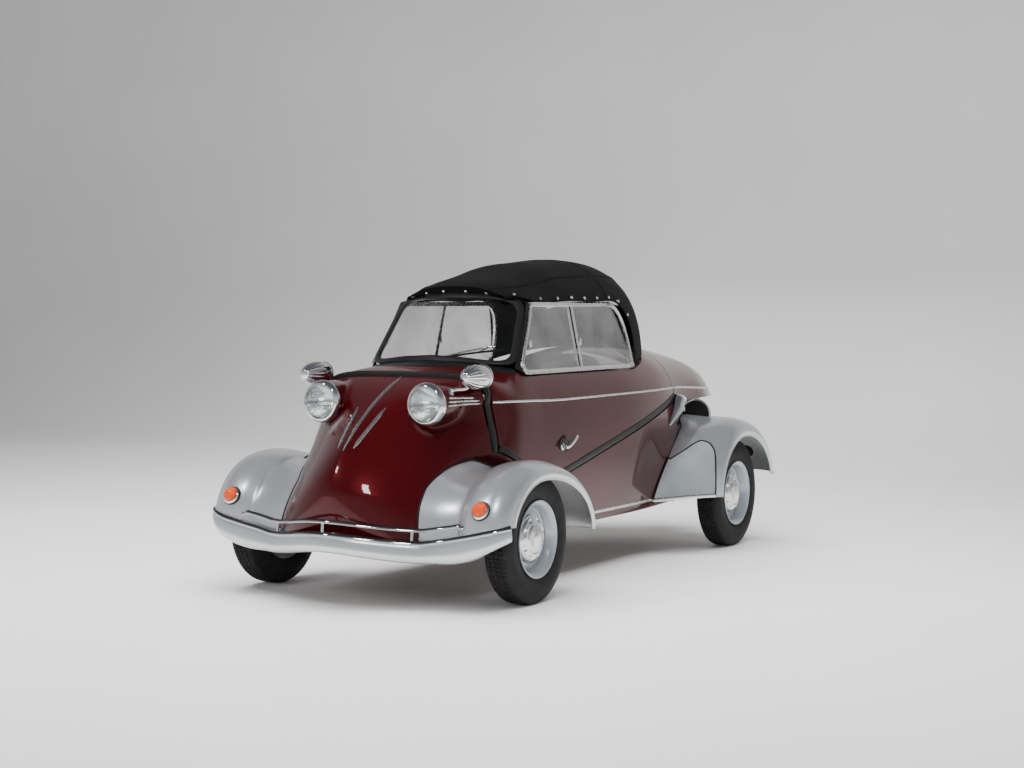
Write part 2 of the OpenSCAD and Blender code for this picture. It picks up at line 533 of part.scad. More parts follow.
module along_y(q) {
    translate(q) rotate([90, 0, 0]) children();
}
module headlight_rims() {
    color("silver") both_sides() along_y([lamp_x, lamp_y - 0.3, lamp_z]) difference() {
        cylinder(h = 22, r1 = pod_r + 3, r2 = lamp_r + 2);
        translate([0, 0, 4]) cylinder(h = 40, r = lamp_r - 4);
    }
}
module headlight_lenses() {
    color("#dfe6ea") both_sides() along_y([lamp_x, lamp_y - 4.6, lamp_z]) rotate_extrude()
        polygon(concat([[0, 0], [lamp_r - 4.3, 0]], [for (a = [0:15:90]) [(lamp_r - 4.3) * cos(a), 16 + 14 * sin(a)]]));
}
indicator = [539, -1292, 361];
lamp_tilt = 28;         // lean of the small lamps, which sit square on the fender
module indicators() {
    color("#e0661a") both_sides() translate(indicator) rotate([90 - lamp_tilt, 0, 0]) rotate_extrude()
        polygon(concat([[0, 1], [33, 1], [34, 9]], [for (a = [0:15:90]) [27 * cos(a), 11 + 16 * sin(a)]]));
}
mirror_at = [352, -994, 811];
module mirrors() {
    head = 47;
    color("silver") both_sides() {
        along_y([mirror_at[0], mirror_at[1] + 34, mirror_at[2]]) rotate_extrude()
            polygon(concat([[0, 0], [head - 4, 0], [head, 8]],
                [for (a = [0:10:80]) [head * pow(cos(a), 0.8), 28 + 118 * sin(a)]], [[0, 150]]));
        bar([pod_pt(55, -1090, 1.06), mirror_at + [-8, -46, -head + 12]], 7);
    }
}
module tail_lamps() {
    color("#a01818") both_sides() translate([500, rear_axle_y + 279.2, 401]) rotate([-90 + lamp_tilt, 0, 0]) rotate_extrude()
        polygon(concat([[0, 1], [28, 1], [28, 9]], [for (a = [0:15:90]) [24 * cos(a), 9 + 12 * sin(a)]]));
}

// ---------- cabin ----------
floor_z = sill_z + wall;
module cushion(at, size, r = 28) {
    translate(at) linear_extrude(size[2]) translate([r, r]) offset(r = r) square([size[0] - 2 * r, size[1] - 2 * r]);
}
module back(at, size, lean, r = 28) {
    translate(at) rotate([90 - lean, 0, 0]) translate([0, 0, -size[2]]) linear_extrude(size[2])
        translate([r, r]) offset(r = r) square([size[0] - 2 * r, size[1] - 2 * r]);
}
module front_seat() {
    color("#2b2b2e") {
        translate([-170, -330, floor_z + 0.3]) cube([340, 360, 90.7]);
        cushion([-205, -370, floor_z + 91], [410, 430, 90]);
        back([-205, 60.6, floor_z + 120], [410, 400, 70], 14);
    }
}
module rear_seat() {
    color("#2b2b2e") {
        translate([-240, 300, floor_z + 0.3]) cube([480, 180, 130.7]);
        cushion([-290, 240, floor_z + 131], [580, 250, 80]);
        back([-270, 490.6, floor_z + 150], [540, 400, 60], 10);
    }
}
dash_rear_y = -885;
module dashboard() {
    function ring(y) = concat([for (a = [-34:4:34]) skin_pt(y, a, wall - 0.5)], [[190, y, 690], [-190, y, 690]]);
    color("#1c1d1f") loft([ring(dash_rear_y), ring(lid_front_y + 0.3)]);
}
column_low = [0, -905, floor_z + 12];
column_top = [0, -640, 690];
column_lean = atan2(column_top[1] - column_low[1], column_top[2] - column_low[2]);
column_len = norm(column_top - column_low);
module steering_column() {
    color("#1c1d1f") {
        translate(column_low) rotate([-column_lean, 0, 0]) cylinder(h = column_len, r = 16);
        translate([-40, column_low[1] - 40, floor_z + 0.3]) cube([80, 80, 26]);
    }
}
module steering_bar() {
    color("#e8e4d8") translate(column_low) rotate([-column_lean, 0, 0]) translate([0, 0, column_len + 0.5]) {
        cylinder(h = 36, r = 30);
        difference() {
            translate([0, 0, 18]) rotate_extrude() translate([165, 0]) circle(r = 12, $fn = 24);
            translate([-300, 70, -20]) cube([600, 300, 80]);
        }
        translate([0, 0, 18]) rotate([0, 90, 0]) cylinder(h = 312, r = 9, center = true);
    }
}
module rear_bulkhead() {
    function ring(y) = concat([for (a = [-90:6:90]) let (q = skin_pt(y, a, wall + 6)) [q[0], y, min(q[2], 782)]],
        [[side_x(y, 240) - wall - 8, y, floor_z + 10], [200, y, floor_z + 0.3], [-200, y, floor_z + 0.3], [-side_x(y, 240) + wall + 8, y, floor_z + 10]]);
    color("#1c1d1f") loft([ring(640), ring(625)]);
}

// ---------- hinges of the lid ----------
lid_axis_x = side_x(0, hinge_z) + 14;
hinge_ys = [-560, 60];
lid_pin_r = 4;
module on_lid_axis(y) {
    translate([-lid_axis_x, y, hinge_z]) rotate([-90, 0, 0]) children();
}
module body_hinges() {
    color("#5a1219") for (y = hinge_ys) difference() {
        union() {
            on_lid_axis(y) cylinder(h = 40, r = 8);
            translate([-lid_axis_x - 6, y, 673]) cube([5, 40, hinge_z - 673]);
        }
        on_lid_axis(y - 1) cylinder(h = 42, r = lid_pin_r + 0.3);
    }
}
module lid_hinges() {
    color("#5a1219") for (y = hinge_ys) {
        on_lid_axis(y - 16) cylinder(h = 72, r = lid_pin_r);
        for (at = [y - 16, y + 46]) {
            on_lid_axis(at) cylinder(h = 10, r = 8);
            translate([-lid_axis_x - 3, at, hinge_z]) cube([6, 10, 26]);
            translate([-lid_axis_x - 3, at, hinge_z + 20]) cube([lid_axis_x + 2.5 - side_x(at, hinge_z + 20), 10, 6]);
        }
    }
}

// ---------- number plate bracket ----------
plate_spacing = 180;
plate_hole_r = 3.5;
plate_z = 520;
module plate_bracket() {
    color("#16181a") difference() {
        translate([-110, tail_end_y + 0.3, plate_z - 15]) cube([220, 6, 30]);
        for (x = [-1, 1]) translate([x * plate_spacing / 2, tail_end_y - 1, plate_z]) rotate([-90, 0, 0])
            cylinder(h = 10, r = plate_hole_r);
    }
}

// ---------- hinge of the engine cover ----------
cover_axis_y = tail_end_y + 24;
cover_axis_z = 634;
hinge_pin_r = 5;
module cover_hinge() {
    color("#5a1219") {
        difference() {
            union() {
                translate([-30, cover_axis_y, cover_axis_z]) rotate([0, 90, 0]) cylinder(h = 60, r = 10);
                translate([-30, tail_end_y + 0.3, cover_axis_z - 40]) cube([60, 8, 44]);
                translate([-30, tail_end_y + 0.3, cover_axis_z - 5]) cube([60, 20, 10]);
            }
            translate([-40, cover_axis_y, cover_axis_z]) rotate([0, 90, 0]) cylinder(h = 80, r = hinge_pin_r + 0.3);
        }
    }
}
module cover_lugs() {
    top = skin_r(cover_axis_y, atan2(41, 300)) * cos(atan2(41, 300)) + axis_z - 19.4;
    color("#5a1219") {
        for (x = [-41, 33]) translate([x, cover_axis_y - 8, cover_axis_z - 10]) cube([8, 16, top - cover_axis_z + 10]);
        translate([-40, cover_axis_y, cover_axis_z]) rotate([0, 90, 0]) cylinder(h = 80, r = hinge_pin_r);
    }
}

// ---------- running gear ----------
bead_h = 13;            // height of the rim flange above the bead seat
module tyre(x, y) {
    t = tyre_w / 2;
    side = [for (u = steps(8)) let (r0 = rim_r + bead_h + 2) [lerp(r0, tyre_r - 9, u), t - 11 * (1 - sin(180 * u)) - 2 * u]];
    half = concat([[rim_r, t - 20.3], [rim_r + bead_h + 0.5, t - 11.3]], side, [[tyre_r - 2, t - 21], [tyre_r, t - 34]]);
    color("#15161a") translate([x, y, tyre_r]) rotate([0, 90, 0]) rotate_extrude($fn = 96)
        polygon(concat(half, reversed([for (q = half) [q[0], -q[1]]])));
}
hub_r = 34;
stub_r = 14;
stub_fit = 0.3;
// A pressed rim with its disc and hub cap, bored for the stub axle; out points away from the car along X
module rim(x, y) {
    t = tyre_w / 2;
    color("#c3c6c9") translate([x, y, tyre_r]) rotate([0, 90, 0]) rotate_extrude($fn = 96)
        polygon([[stub_r + stub_fit, -26], [hub_r, -26], [hub_r, 4], [78, 12], [100, 2], [108, -8],
            [108, -t + 28], [rim_r - 12, -t + 22], [rim_r - 2, -t + 18], [rim_r + 12, -t + 4], [rim_r + 14, -t + 2],
            [rim_r + 13, -t + 11], [rim_r - 0.3, -t + 20], [rim_r - 0.3, t - 20], [rim_r + 13, t - 11],
            [rim_r + 14, t - 5], [rim_r + 10, t - 3], [rim_r - 8, t - 20], [114, t - 26], [113, 4],
            [104, 14], [84, 26], [78, 38], [60, 46], [0, 50], [0, 30], [stub_r + stub_fit, 30]]);
}
module front_tyre_left() { tyre(front_half_track, front_axle_y); }
module front_tyre_right() { mirror([1, 0, 0]) tyre(front_half_track, front_axle_y); }
module rear_tyre_left() { tyre(rear_half_track, rear_axle_y); }
module rear_tyre_right() { mirror([1, 0, 0]) tyre(rear_half_track, rear_axle_y); }
module front_rim_left() { rim(front_half_track, front_axle_y); }
module front_rim_right() { mirror([1, 0, 0]) rim(front_half_track, front_axle_y); }
module rear_rim_left() { rim(rear_half_track, rear_axle_y); }
module rear_rim_right() { mirror([1, 0, 0]) rim(rear_half_track, rear_axle_y); }

kingpin_x = 470;
pin_r = 12;
module knuckle() {
    color("#2a2c2f") {
        difference() {
            translate([kingpin_x, front_axle_y, tyre_r - 45]) cylinder(h = 90, r = 22);
            translate([kingpin_x, front_axle_y, tyre_r - 46]) cylinder(h = 92, r = pin_r + 0.3);
            translate([kingpin_x - 40, front_axle_y - 40, tyre_r - 15]) cube([22, 80, 30]);
        }
        translate([kingpin_x + 18, front_axle_y, tyre_r]) rotate([0, 90, 0]) cylinder(h = front_half_track - kingpin_x - 18 + 28, r = stub_r);
    }
}
module knuckle_left() { knuckle(); }
module knuckle_right() { mirror([1, 0, 0]) knuckle(); }
// Transverse arm with a fork that holds the kingpin
module front_axle_arms() {
    color("#2a2c2f") both_sides() {
        translate([kingpin_x, front_axle_y, tyre_r - 62]) cylinder(h = 124, r = pin_r);
        for (z = [-62, 46]) translate([kingpin_x, front_axle_y, tyre_r + z]) cylinder(h = 16, r = 22);
        arm_x = side_x(front_axle_y + 30, tyre_r + 62) - 0.3;
        for (z = [-62, 46]) translate([arm_x + 10, front_axle_y - 16, tyre_r + z]) cube([kingpin_x - arm_x - 10, 32, 16]);
        translate([arm_x, front_axle_y - 30, tyre_r - 62]) cube([18, 60, 124]);
    }
}
module rear_axle() {
    color("#2a2c2f") {
        both_sides() translate([150, rear_axle_y, tyre_r]) rotate([0, 90, 0]) cylinder(h = rear_half_track + 28 - 150, r = stub_r);
        translate([-150, rear_axle_y, tyre_r]) rotate([0, 90, 0]) cylinder(h = 300, r = 40);
        for (x = [-230, 200]) translate([x, rear_cut_y + 0.3, sill_z + 1]) cube([30, rear_axle_y - rear_cut_y, 20]);
        for (x = [-230, 200]) translate([x, rear_axle_y - 20, sill_z + 1]) cube([30, 40, 50]);
    }
}
module engine_block() {
    color("#4a4d50") translate([-170, 760, tyre_r + 40.3]) cube([340, 300, 260]);
}
module exhaust() {
    color("#6b6e70") {
        translate([-160, 1130, 250]) rotate([0, 90, 0]) cylinder(h = 320, r = 45);
        bar([[120, 1165, 246], [120, 1260, 240], [120, 1330, 236]], 14);
        translate([-40, 1060.3, 288]) cube([80, 80, 20]);
        translate([-40, 1110, 288]) cube([80, 30, 20]);
    }
}
module door_handle() {
    color("silver") bar([[side_x(-474, 525) + 1, -474, 525], [side_x(-474, 525) + 26, -470, 528], [side_x(-440, 535) + 30, -400, 545]], 8);
}
module wiper() {
    color("silver") {
        path = [for (t = steps(5)) let (c = lerp(-0.05, 0.72, t), v = lerp(0.03, 0.4, t)) screen_pt(c, v) + screen_normal(c, v) * (13.5 + 3 * t)];
        bar(path, 4);
    }
}

nose_shell();
tub();
tail_shell();
engine_cover();
cover_hinge();
cover_lugs();
windscreen_frame();
windscreen_glass();
side_window_frames();
side_window_glass();
soft_top();
lid_panel();
lid_seal();
body_hinges();
lid_hinges();
plate_bracket();
rear_window();
front_fender_left();
front_fender_right();
rear_fender_left();
rear_fender_right();
front_bumper();
headlight_pods();
headlight_rims();
headlight_lenses();
indicators();
mirrors();
tail_lamps();
front_seat();
rear_seat();
dashboard();
rear_bulkhead();
steering_column();
steering_bar();
front_tyre_left();
front_tyre_right();
rear_tyre_left();
rear_tyre_right();
front_rim_left();
front_rim_right();
rear_rim_left();
rear_rim_right();
knuckle_left();
knuckle_right();
front_axle_arms();
rear_axle();
engine_block();
exhaust();
door_handle();
wiper();
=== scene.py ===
"""Tandem two-seat bubble car: its visible surfaces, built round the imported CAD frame."""

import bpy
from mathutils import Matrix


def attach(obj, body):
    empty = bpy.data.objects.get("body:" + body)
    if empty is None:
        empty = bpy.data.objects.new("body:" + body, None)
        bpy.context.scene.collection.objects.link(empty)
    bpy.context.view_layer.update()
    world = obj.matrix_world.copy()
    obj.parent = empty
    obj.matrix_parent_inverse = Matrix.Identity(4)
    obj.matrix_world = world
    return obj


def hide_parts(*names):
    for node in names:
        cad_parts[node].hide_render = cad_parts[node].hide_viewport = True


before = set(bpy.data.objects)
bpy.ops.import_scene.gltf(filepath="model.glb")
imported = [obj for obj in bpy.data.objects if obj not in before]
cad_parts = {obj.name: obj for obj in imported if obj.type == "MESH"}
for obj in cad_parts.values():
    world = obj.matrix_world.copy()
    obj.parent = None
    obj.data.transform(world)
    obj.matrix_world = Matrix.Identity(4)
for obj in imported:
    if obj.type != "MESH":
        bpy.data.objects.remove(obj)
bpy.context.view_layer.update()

from math import cos, pi, radians, sin

import bpy
import numpy as np
from bpy.props import FloatProperty, FloatVectorProperty, IntProperty, PointerProperty
from bpy.types import Operator, Panel, PropertyGroup

bl_info = {
    "name": "Bubble car",
    "version": (1, 0, 0),
    "blender": (4, 5, 0),
    "location": "View3D > Sidebar > Bubble car",
    "description": "Builds the panels, trim, glass, cabin and wheels of a tandem bubble car",
    "category": "Add Mesh",
}

MM = 0.001

# ---------------------------------------------------------------- sizes, in millimetres
SILL_Z, BODY_HW, NOSE_Y, TAIL_Y = 205.0, 420.0, -1435.0, 1500.0
WALL, SEAL_W, SHUT_GAP = 22.0, 28.0, 6.0
FRONT_AXLE_Y, REAR_AXLE_Y = -1000.0, 890.0
FRONT_TRACK, REAR_TRACK = 555.0, 520.0
TYRE_R, TYRE_W, RIM_R = 235.6, 112.0, 127.0
BELLY_Z, POLE_Y, TAPER_Y = 500.0, -790.0, 100.0
COWL_Z, SHOULDER_Z = 843.0, 900.0
AXIS_Z = 470.0
LID_FRONT_Y, HINGE_Z = -954.0, 730.0
WINDOW_LOW_Z, WINDOW_TOP_Z, HOOD_TOP_Z = 806.0, 1082.0, 1258.0
REAR_CUT_Y = 680.0
COVER_Z, TAIL_END_Y = 645.0, 1368.0
BELT_Z = 705.0


# ---------------------------------------------------------------- numbers
def lerp(a, b, t):
    """a + (b - a) t."""
    return a + (b - a) * t


def smooth(t):
    """3t^2 - 2t^3 with t held between 0 and 1."""
    c = np.clip(t, 0, 1)
    return c * c * (3 - 2 * c)


def superell(t, n):
    """The other ordinate of a superellipse: (1 - |t|^n)^(1/n)."""
    return np.maximum(0, 1 - np.minimum(1, np.abs(t)) ** n) ** (1 / n)


def bisect(inside, low, high, shape, rounds=24):
    """The edge between inside and outside along a line, by halving the gap between low and high."""
    lo, hi = np.full(shape, float(low)), np.full(shape, float(high))
    for _ in range(rounds):
        mid = (lo + hi) / 2
        ok = inside(mid)
        lo, hi = np.where(ok, mid, lo), np.where(ok, hi, mid)
    return (lo + hi) / 2


def unit(v):
    """v divided by its length."""
    return v / np.maximum(np.linalg.norm(v, axis=-1, keepdims=True), 1e-12)


def spline_rows(points, k):
    """Catmull-Rom curve through the rows of a grid: k new rows for each gap, straight past the ends."""
    p = np.concatenate([2 * points[:1] - points[1:2], points, 2 * points[-1:] - points[-2:-1]])
    t = (np.arange(k) / k).reshape(-1, *([1] * (points.ndim - 1)))
    out = []
    for i in range(len(points) - 1):
        a, b, c, d = p[i : i + 4]
        out.append(0.5 * (2 * b + (c - a) * t + (2 * a - 5 * b + 4 * c - d) * t**2 + (3 * b - a - 3 * c + d) * t**3))
    return np.concatenate(out + [points[-1:]])


# ---------------------------------------------------------------- master surface of the body
def plan_hw(y):
    """Half width in plan: constant, then HW (1 - t^2)^k to the tail's tip; k falls to 0.32 along the tail's full sides."""
    t = np.maximum(0, (y - TAPER_Y) / (TAIL_Y + 12 - TAPER_Y))
    k = 0.65 - 0.33 * smooth((y - 650) / 500) * (1 - smooth((y - 1350) / 150))
    return BODY_HW * np.maximum(0, 1 - t**2) ** k


def crown_z(y):
    """Height of the top line: the cowl, the shoulders, then a falling tail."""
    ahead = lerp(COWL_Z, SHOULDER_Z, smooth((y - POLE_Y) / 190))
    behind = SHOULDER_Z - 110 * np.maximum(0, (y - 500) / 910) ** 1.6 - 60 * smooth((y - 1380) / 120)
    return np.where(y < 500, ahead, behind)


def crown_n(y):
    """Order of the section's superellipse above the belly."""
    return np.where(y < 0, lerp(3.8, 3, smooth((y - POLE_Y) / 190)), lerp(3, 2.4, smooth((y - 500) / 600)))


def well(y, z):
    """Depth of the pressed well behind each front wheel: 50 (1 - d^6) inside a radius of 290."""
    d = np.hypot(y - FRONT_AXLE_Y, z - TYRE_R) / 290
    return np.where(d < 1, 50 * (1 - d**6), 0)


def nose_n(z):
    """Order of the nose's plan: pointed below the headlights, blunt at the cowl and at the sill."""
    return 1.27 + 1.53 * ((635 - z) / np.where(z < 635, 360, 122)) ** 2


def side_x(y, z):
    """Half width of the body at a place along it and a height: plan width times section times nose taper."""
    y, z = np.broadcast_arrays(np.asarray(y, float), np.asarray(z, float))
    ym = np.maximum(y, POLE_Y)
    top = crown_z(ym)
    t = np.clip((z - BELLY_Z) / (top - BELLY_Z), 0, 1)
    above = np.maximum(0, 1 - t ** crown_n(ym)) ** (1 / crown_n(ym))
    below = 1 - 0.035 * ((BELLY_Z - z) / 300) ** 2
    f = np.where(z > BELLY_Z, above, below)
    reach = POLE_Y - NOSE_Y
    length = np.where(z > 400, reach * superell((z - 400) / (COWL_Z - 400), 1.5), reach * (1 - ((400 - z) / 770) ** 2))
    u = (POLE_Y - y) / np.maximum(length, 1e-6)
    n = nose_n(z)
    taper = np.where(y >= POLE_Y, 1, np.where(u >= 1, 0, (1 - np.clip(u, 0, 1) ** np.maximum(n, 1.8)) ** (1 / n)))
    return np.maximum(0, plan_hw(y) * f * taper - well(y, z))


def keel_z(y):
    """Height of the underside: level, then rising at the tail."""
    return SILL_Z + 330 * np.clip((y - 1100) / 400, 0, 1) ** 1.4


def skin_r(y, a):
    """Distance from the body's axis to its skin at section angle a from the top, in radians."""
    y, a = np.broadcast_arrays(np.asarray(y, float), np.asarray(a, float))

    def inside(r):
        x, z = r * np.sin(a), AXIS_Z + r * np.cos(a)
        return (z > keel_z(y)) & (np.abs(x) < side_x(y, z))

    return bisect(inside, 0, 700, y.shape)


def skin_pt(y, a, inset=0.0):
    """Point of the skin at (y, a), drawn in by inset."""
    r = skin_r(y, a) - inset
    y, a = np.broadcast_arrays(np.asarray(y, float), np.asarray(a, float))
    return np.stack([r * np.sin(a), y, AXIS_Z + r * np.cos(a)], -1)


def side_pt(y, z, s=1, out=0.0):
    """Point of the side at (y, z), s is 1 for the left and -1 for the right, moved out by out."""
    y, z = np.broadcast_arrays(np.asarray(y, float), np.asarray(z, float))
    return np.stack([s * (side_x(y, z) + out), y, z], -1)


def edge_angle(y, z):
    """Section angle of the side's point at height z."""
    return np.arctan2(side_x(y, z), np.asarray(z, float) - AXIS_Z)


# ---------------------------------------------------------------- mesh building
def grid_faces(m, n, keep=None, close_u=False, close_v=False):
    """Quads of an m by n grid of points, row by row."""
    i, j = np.meshgrid(np.arange(m if close_u else m - 1), np.arange(n if close_v else n - 1), indexing="ij")
    if keep is not None:
        i, j = i[keep], j[keep]
    i, j = i.ravel(), j.ravel()
    i2, j2 = (i + 1) % m, (j + 1) % n
    return np.stack([i * n + j, i * n + j2, i2 * n + j2, i2 * n + j], 1)


def shell(outer, inner, keep=None, close_v=False):
    """A closed sheet between two grids of points; keep is false at the cells that are left open."""
    m, n = outer.shape[:2]
    if keep is None:
        keep = np.ones((m - 1, n if close_v else n - 1), bool)
    f = grid_faces(m, n, keep, close_v=close_v)
    o = m * n
    faces = [f, f[:, ::-1] + o]
    edges = np.concatenate([f[:, [k, (k + 1) % 4]] for k in range(4)])
    key = edges[:, 0].astype(np.int64) * o + edges[:, 1]
    back = edges[:, 1].astype(np.int64) * o + edges[:, 0]
    rim = edges[~np.isin(key, back)]
    faces.append(np.stack([rim[:, 1], rim[:, 0], rim[:, 0] + o, rim[:, 1] + o], 1))
    return np.concatenate([outer.reshape(-1, 3), inner.reshape(-1, 3)]), np.concatenate(faces)


def normals(grid):
    """Unit normals of a grid of points, from its central differences."""
    du = np.gradient(grid, axis=0)
    dv = np.gradient(grid, axis=1)
    return unit(np.cross(du, dv))


def tube(path, profile, closed=False, up=(0, 0, 1), ups=None):
    """A profile of (across, up) points carried along a path; up is held as near as the path allows."""
    path = np.asarray(path, float)
    m = len(path)
    if closed:
        d = np.roll(path, -1, 0) - np.roll(path, 1, 0)
    else:
        d = np.gradient(path, axis=0)
    d = unit(d)
    u = np.broadcast_to(np.asarray(up if ups is None else ups, float), path.shape)
    side = unit(np.cross(d, u))
    top = unit(np.cross(side, d))
    pr = np.asarray(profile, float)
    if pr.ndim == 2:
        pr = np.broadcast_to(pr, (m, *pr.shape))
    rings = path[:, None] + side[:, None] * pr[..., :1] + top[:, None] * pr[..., 1:]
    return rings_solid(rings, closed)


def rings_solid(rings, closed=False):
    """A solid through rings of equal count, with its two ends closed by fans unless it is a hoop."""
    m, n = rings.shape[:2]
    f = grid_faces(m, n, close_u=closed, close_v=True)
    v = rings.reshape(-1, 3)
    if closed:
        return v, f
    v = np.concatenate([v, rings[:1].mean(1), rings[-1:].mean(1)])
    j = np.arange(n)
    k = (j + 1) % n
    a, b = m * n, m * n + 1
    t1 = np.stack([np.full(n, a), k, j, j], 1)
    t2 = np.stack([np.full(n, b), (m - 1) * n + j, (m - 1) * n + k, (m - 1) * n + k], 1)
    return v, np.concatenate([f, t1, t2])


def circle(r, sides=12, squash=1.0):
    """A round profile."""
    t = np.arange(sides) * 2 * pi / sides
    return np.stack([r * np.cos(t), r * squash * np.sin(t)], 1)


def lathe(profile, at, axis, sides=48, wobble=None):
    """A profile of (radius, height) points turned about a line through at; it starts and ends on the line or closes."""
    pr = np.asarray(profile, float)
    axis = unit(np.asarray(axis, float))
    ref = np.array([0, 0, 1.0]) if abs(axis[2]) < 0.9 else np.array([1.0, 0, 0])
    u = unit(np.cross(ref, axis))
    w = np.cross(axis, u)
    t = np.arange(sides) * 2 * pi / sides
    r = pr[:, :1] * np.ones(sides)
    if wobble is not None:
        r = wobble(r, pr[:, 1:], t)
    rings = np.asarray(at, float) + r[..., None] * (np.cos(t)[:, None] * u + np.sin(t)[:, None] * w)
    rings = rings + pr[:, 1][:, None, None] * axis
    closed = bool(np.allclose(pr[0], pr[-1]))
    return rings_solid(rings[:-1] if closed else rings, closed)


def mirrored(part):
    """The same part on the car's other side, still facing outwards."""
    v, f = part
    return v * [-1, 1, 1], f[:, [1, 0, 3, 2]]


def joined(*parts):
    """Several parts as one list of points and faces."""
    verts, faces, n = [], [], 0
    for v, f in parts:
        verts.append(v)
        faces.append(f + n)
        n += len(v)
    return np.concatenate(verts), np.concatenate(faces)


def outward(part):
    """The part with its faces turned outwards, told by the sign of its volume."""
    v, f = part
    a, b, c, d = (v[f[:, k]] for k in range(4))
    volume = (np.cross(a, b) * c).sum() + (np.cross(a, c) * d).sum()
    return (v, f) if volume > 0 else (v, f[:, [1, 0, 3, 2]])


def piece(name, parts, body, paint, replaces=(), sharp=38.0, uv=None):
    """One object in metres from closed parts in millimetres. Quads with a doubled corner become triangles."""
    v, f = joined(*[outward(p) for p in parts])
    mesh = bpy.data.meshes.new(name)
    tri = f[:, 2] == f[:, 3]
    sizes = np.where(tri, 3, 4)
    keep = np.ones((len(f), 4), bool)
    keep[tri, 3] = False
    loops = f[keep]
    mesh.vertices.add(len(v))
    mesh.vertices.foreach_set("co", (v * MM).astype(np.float32).ravel())
    mesh.loops.add(len(loops))
    mesh.loops.foreach_set("vertex_index", loops.astype(np.int32))
    mesh.polygons.add(len(f))
    mesh.polygons.foreach_set("loop_start", np.concatenate([[0], np.cumsum(sizes)[:-1]]).astype(np.int32))
    mesh.polygons.foreach_set("use_smooth", np.ones(len(f), bool))
    mesh.update(calc_edges=True)
    mesh.validate()
    mesh.set_sharp_from_angle(angle=radians(sharp))
    if uv is not None:
        layer = mesh.uv_layers.new(name="UVMap")
        layer.data.foreach_set("uv", uv[loops].astype(np.float32).ravel())
    obj = bpy.data.objects.new(name, mesh)
    bpy.context.scene.collection.objects.link(obj)
    obj.data.materials.append(material(paint))
    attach(obj, body)
    if replaces:
        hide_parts(*replaces)
    return obj


# ---------------------------------------------------------------- materials
def rgb(hexcode):
    """sRGB hex to linear RGBA."""
    c = np.array([int(hexcode[k : k + 2], 16) for k in (1, 3, 5)]) / 255
    lin = np.where(c <= 0.04045, c / 12.92, ((c + 0.055) / 1.055) ** 2.4)
    return (*lin.tolist(), 1.0)


def node(tree, kind, links=None, to=None, stops=(), **settings):
    """Adds a node. links feed its inputs, its first output feeds the socket to, stops are a ramp's colours, and the other
    settings are its properties or the values of its inputs, with _ for a space and hex for a colour."""
    n = tree.nodes.new("ShaderNode" + kind)
    for key, value in settings.items():
        value = rgb(value) if isinstance(value, str) and value.startswith("#") else value
        if hasattr(n, key):
            setattr(n, key, value)
        else:
            n.inputs[key.replace("_", " ")].default_value = value
    for k, (place, colour) in enumerate(stops):
        e = n.color_ramp.elements[k] if k < 2 else n.color_ramp.elements.new(place)
        e.position, e.color = place, rgb(colour)
    for key, source in (links or {}).items():
        tree.links.new(source, n.inputs[key])
    if to:
        tree.links.new(n.outputs["Result"] if kind == "MapRange" else n.outputs[0], to)
    return n


def base(name, **shader):
    """A new material with a principled shader whose constants are set on its own sockets, and its object coordinates."""
    m = bpy.data.materials.new(name)
    m.use_nodes = True
    t = m.node_tree
    t.nodes.clear()
    out = node(t, "OutputMaterial")
    s = node(t, "BsdfPrincipled", to=out.inputs["Surface"], **shader)
    return m, t, s.inputs, node(t, "TexCoord").outputs["Object"]


def lacquer(name, deep, light, flake, metallic, rough, coat):
    """Metallic lacquer under clear coat: a tint that drifts between two colours, flakes of a third, a faint orange peel."""
    m, t, s, p = base(name, Metallic=metallic, Roughness=rough, Specular_IOR_Level=0.1, Coat_Weight=coat, Coat_Roughness=0.03, Coat_IOR=1.36)
    # Flakes of 0.05 mm are drawn 0.8 mm apart, so that they show.
    cells = node(t, "TexVoronoi", {"Vector": p}, Scale=1200.0, feature="F1")
    cloud = node(t, "TexNoise", {"Vector": p}, Scale=2.2, Detail=3.0)
    tint = node(t, "ValToRGB", {"Fac": cloud.outputs["Fac"]}, stops=[(0.3, deep), (0.7, light)])
    pick = node(t, "SeparateColor", {"Color": cells.outputs["Color"]})
    spark = node(t, "MapRange", {"Value": pick.outputs["Red"]}, From_Min=0.86, From_Max=1.0)
    both = node(t, "Mix", {0: spark.outputs["Result"], 6: tint.outputs["Color"]}, data_type="RGBA")
    both.inputs[7].default_value = rgb(flake)
    t.links.new(both.outputs[2], s["Base Color"])
    peel = node(t, "TexNoise", {"Vector": p}, Scale=220.0, Detail=1.0)
    node(t, "Bump", {"Height": peel.outputs["Fac"]}, to=s["Coat Normal"], Distance=0.00003, Strength=0.3)
    return m


def metal(name, color, rough_low, rough_high, scale, depth):
    """A bare metal whose roughness drifts between two values, with fine marks of a depth in metres."""
    m, t, s, p = base(name, Base_Color=color, Metallic=1.0)
    n = node(t, "TexNoise", {"Vector": p}, Scale=scale, Detail=5.0)
    node(t, "MapRange", {"Value": n.outputs["Fac"]}, to=s["Roughness"], To_Min=rough_low, To_Max=rough_high)
    node(t, "Bump", {"Height": n.outputs["Fac"]}, to=s["Normal"], Distance=depth, Strength=0.4)
    return m


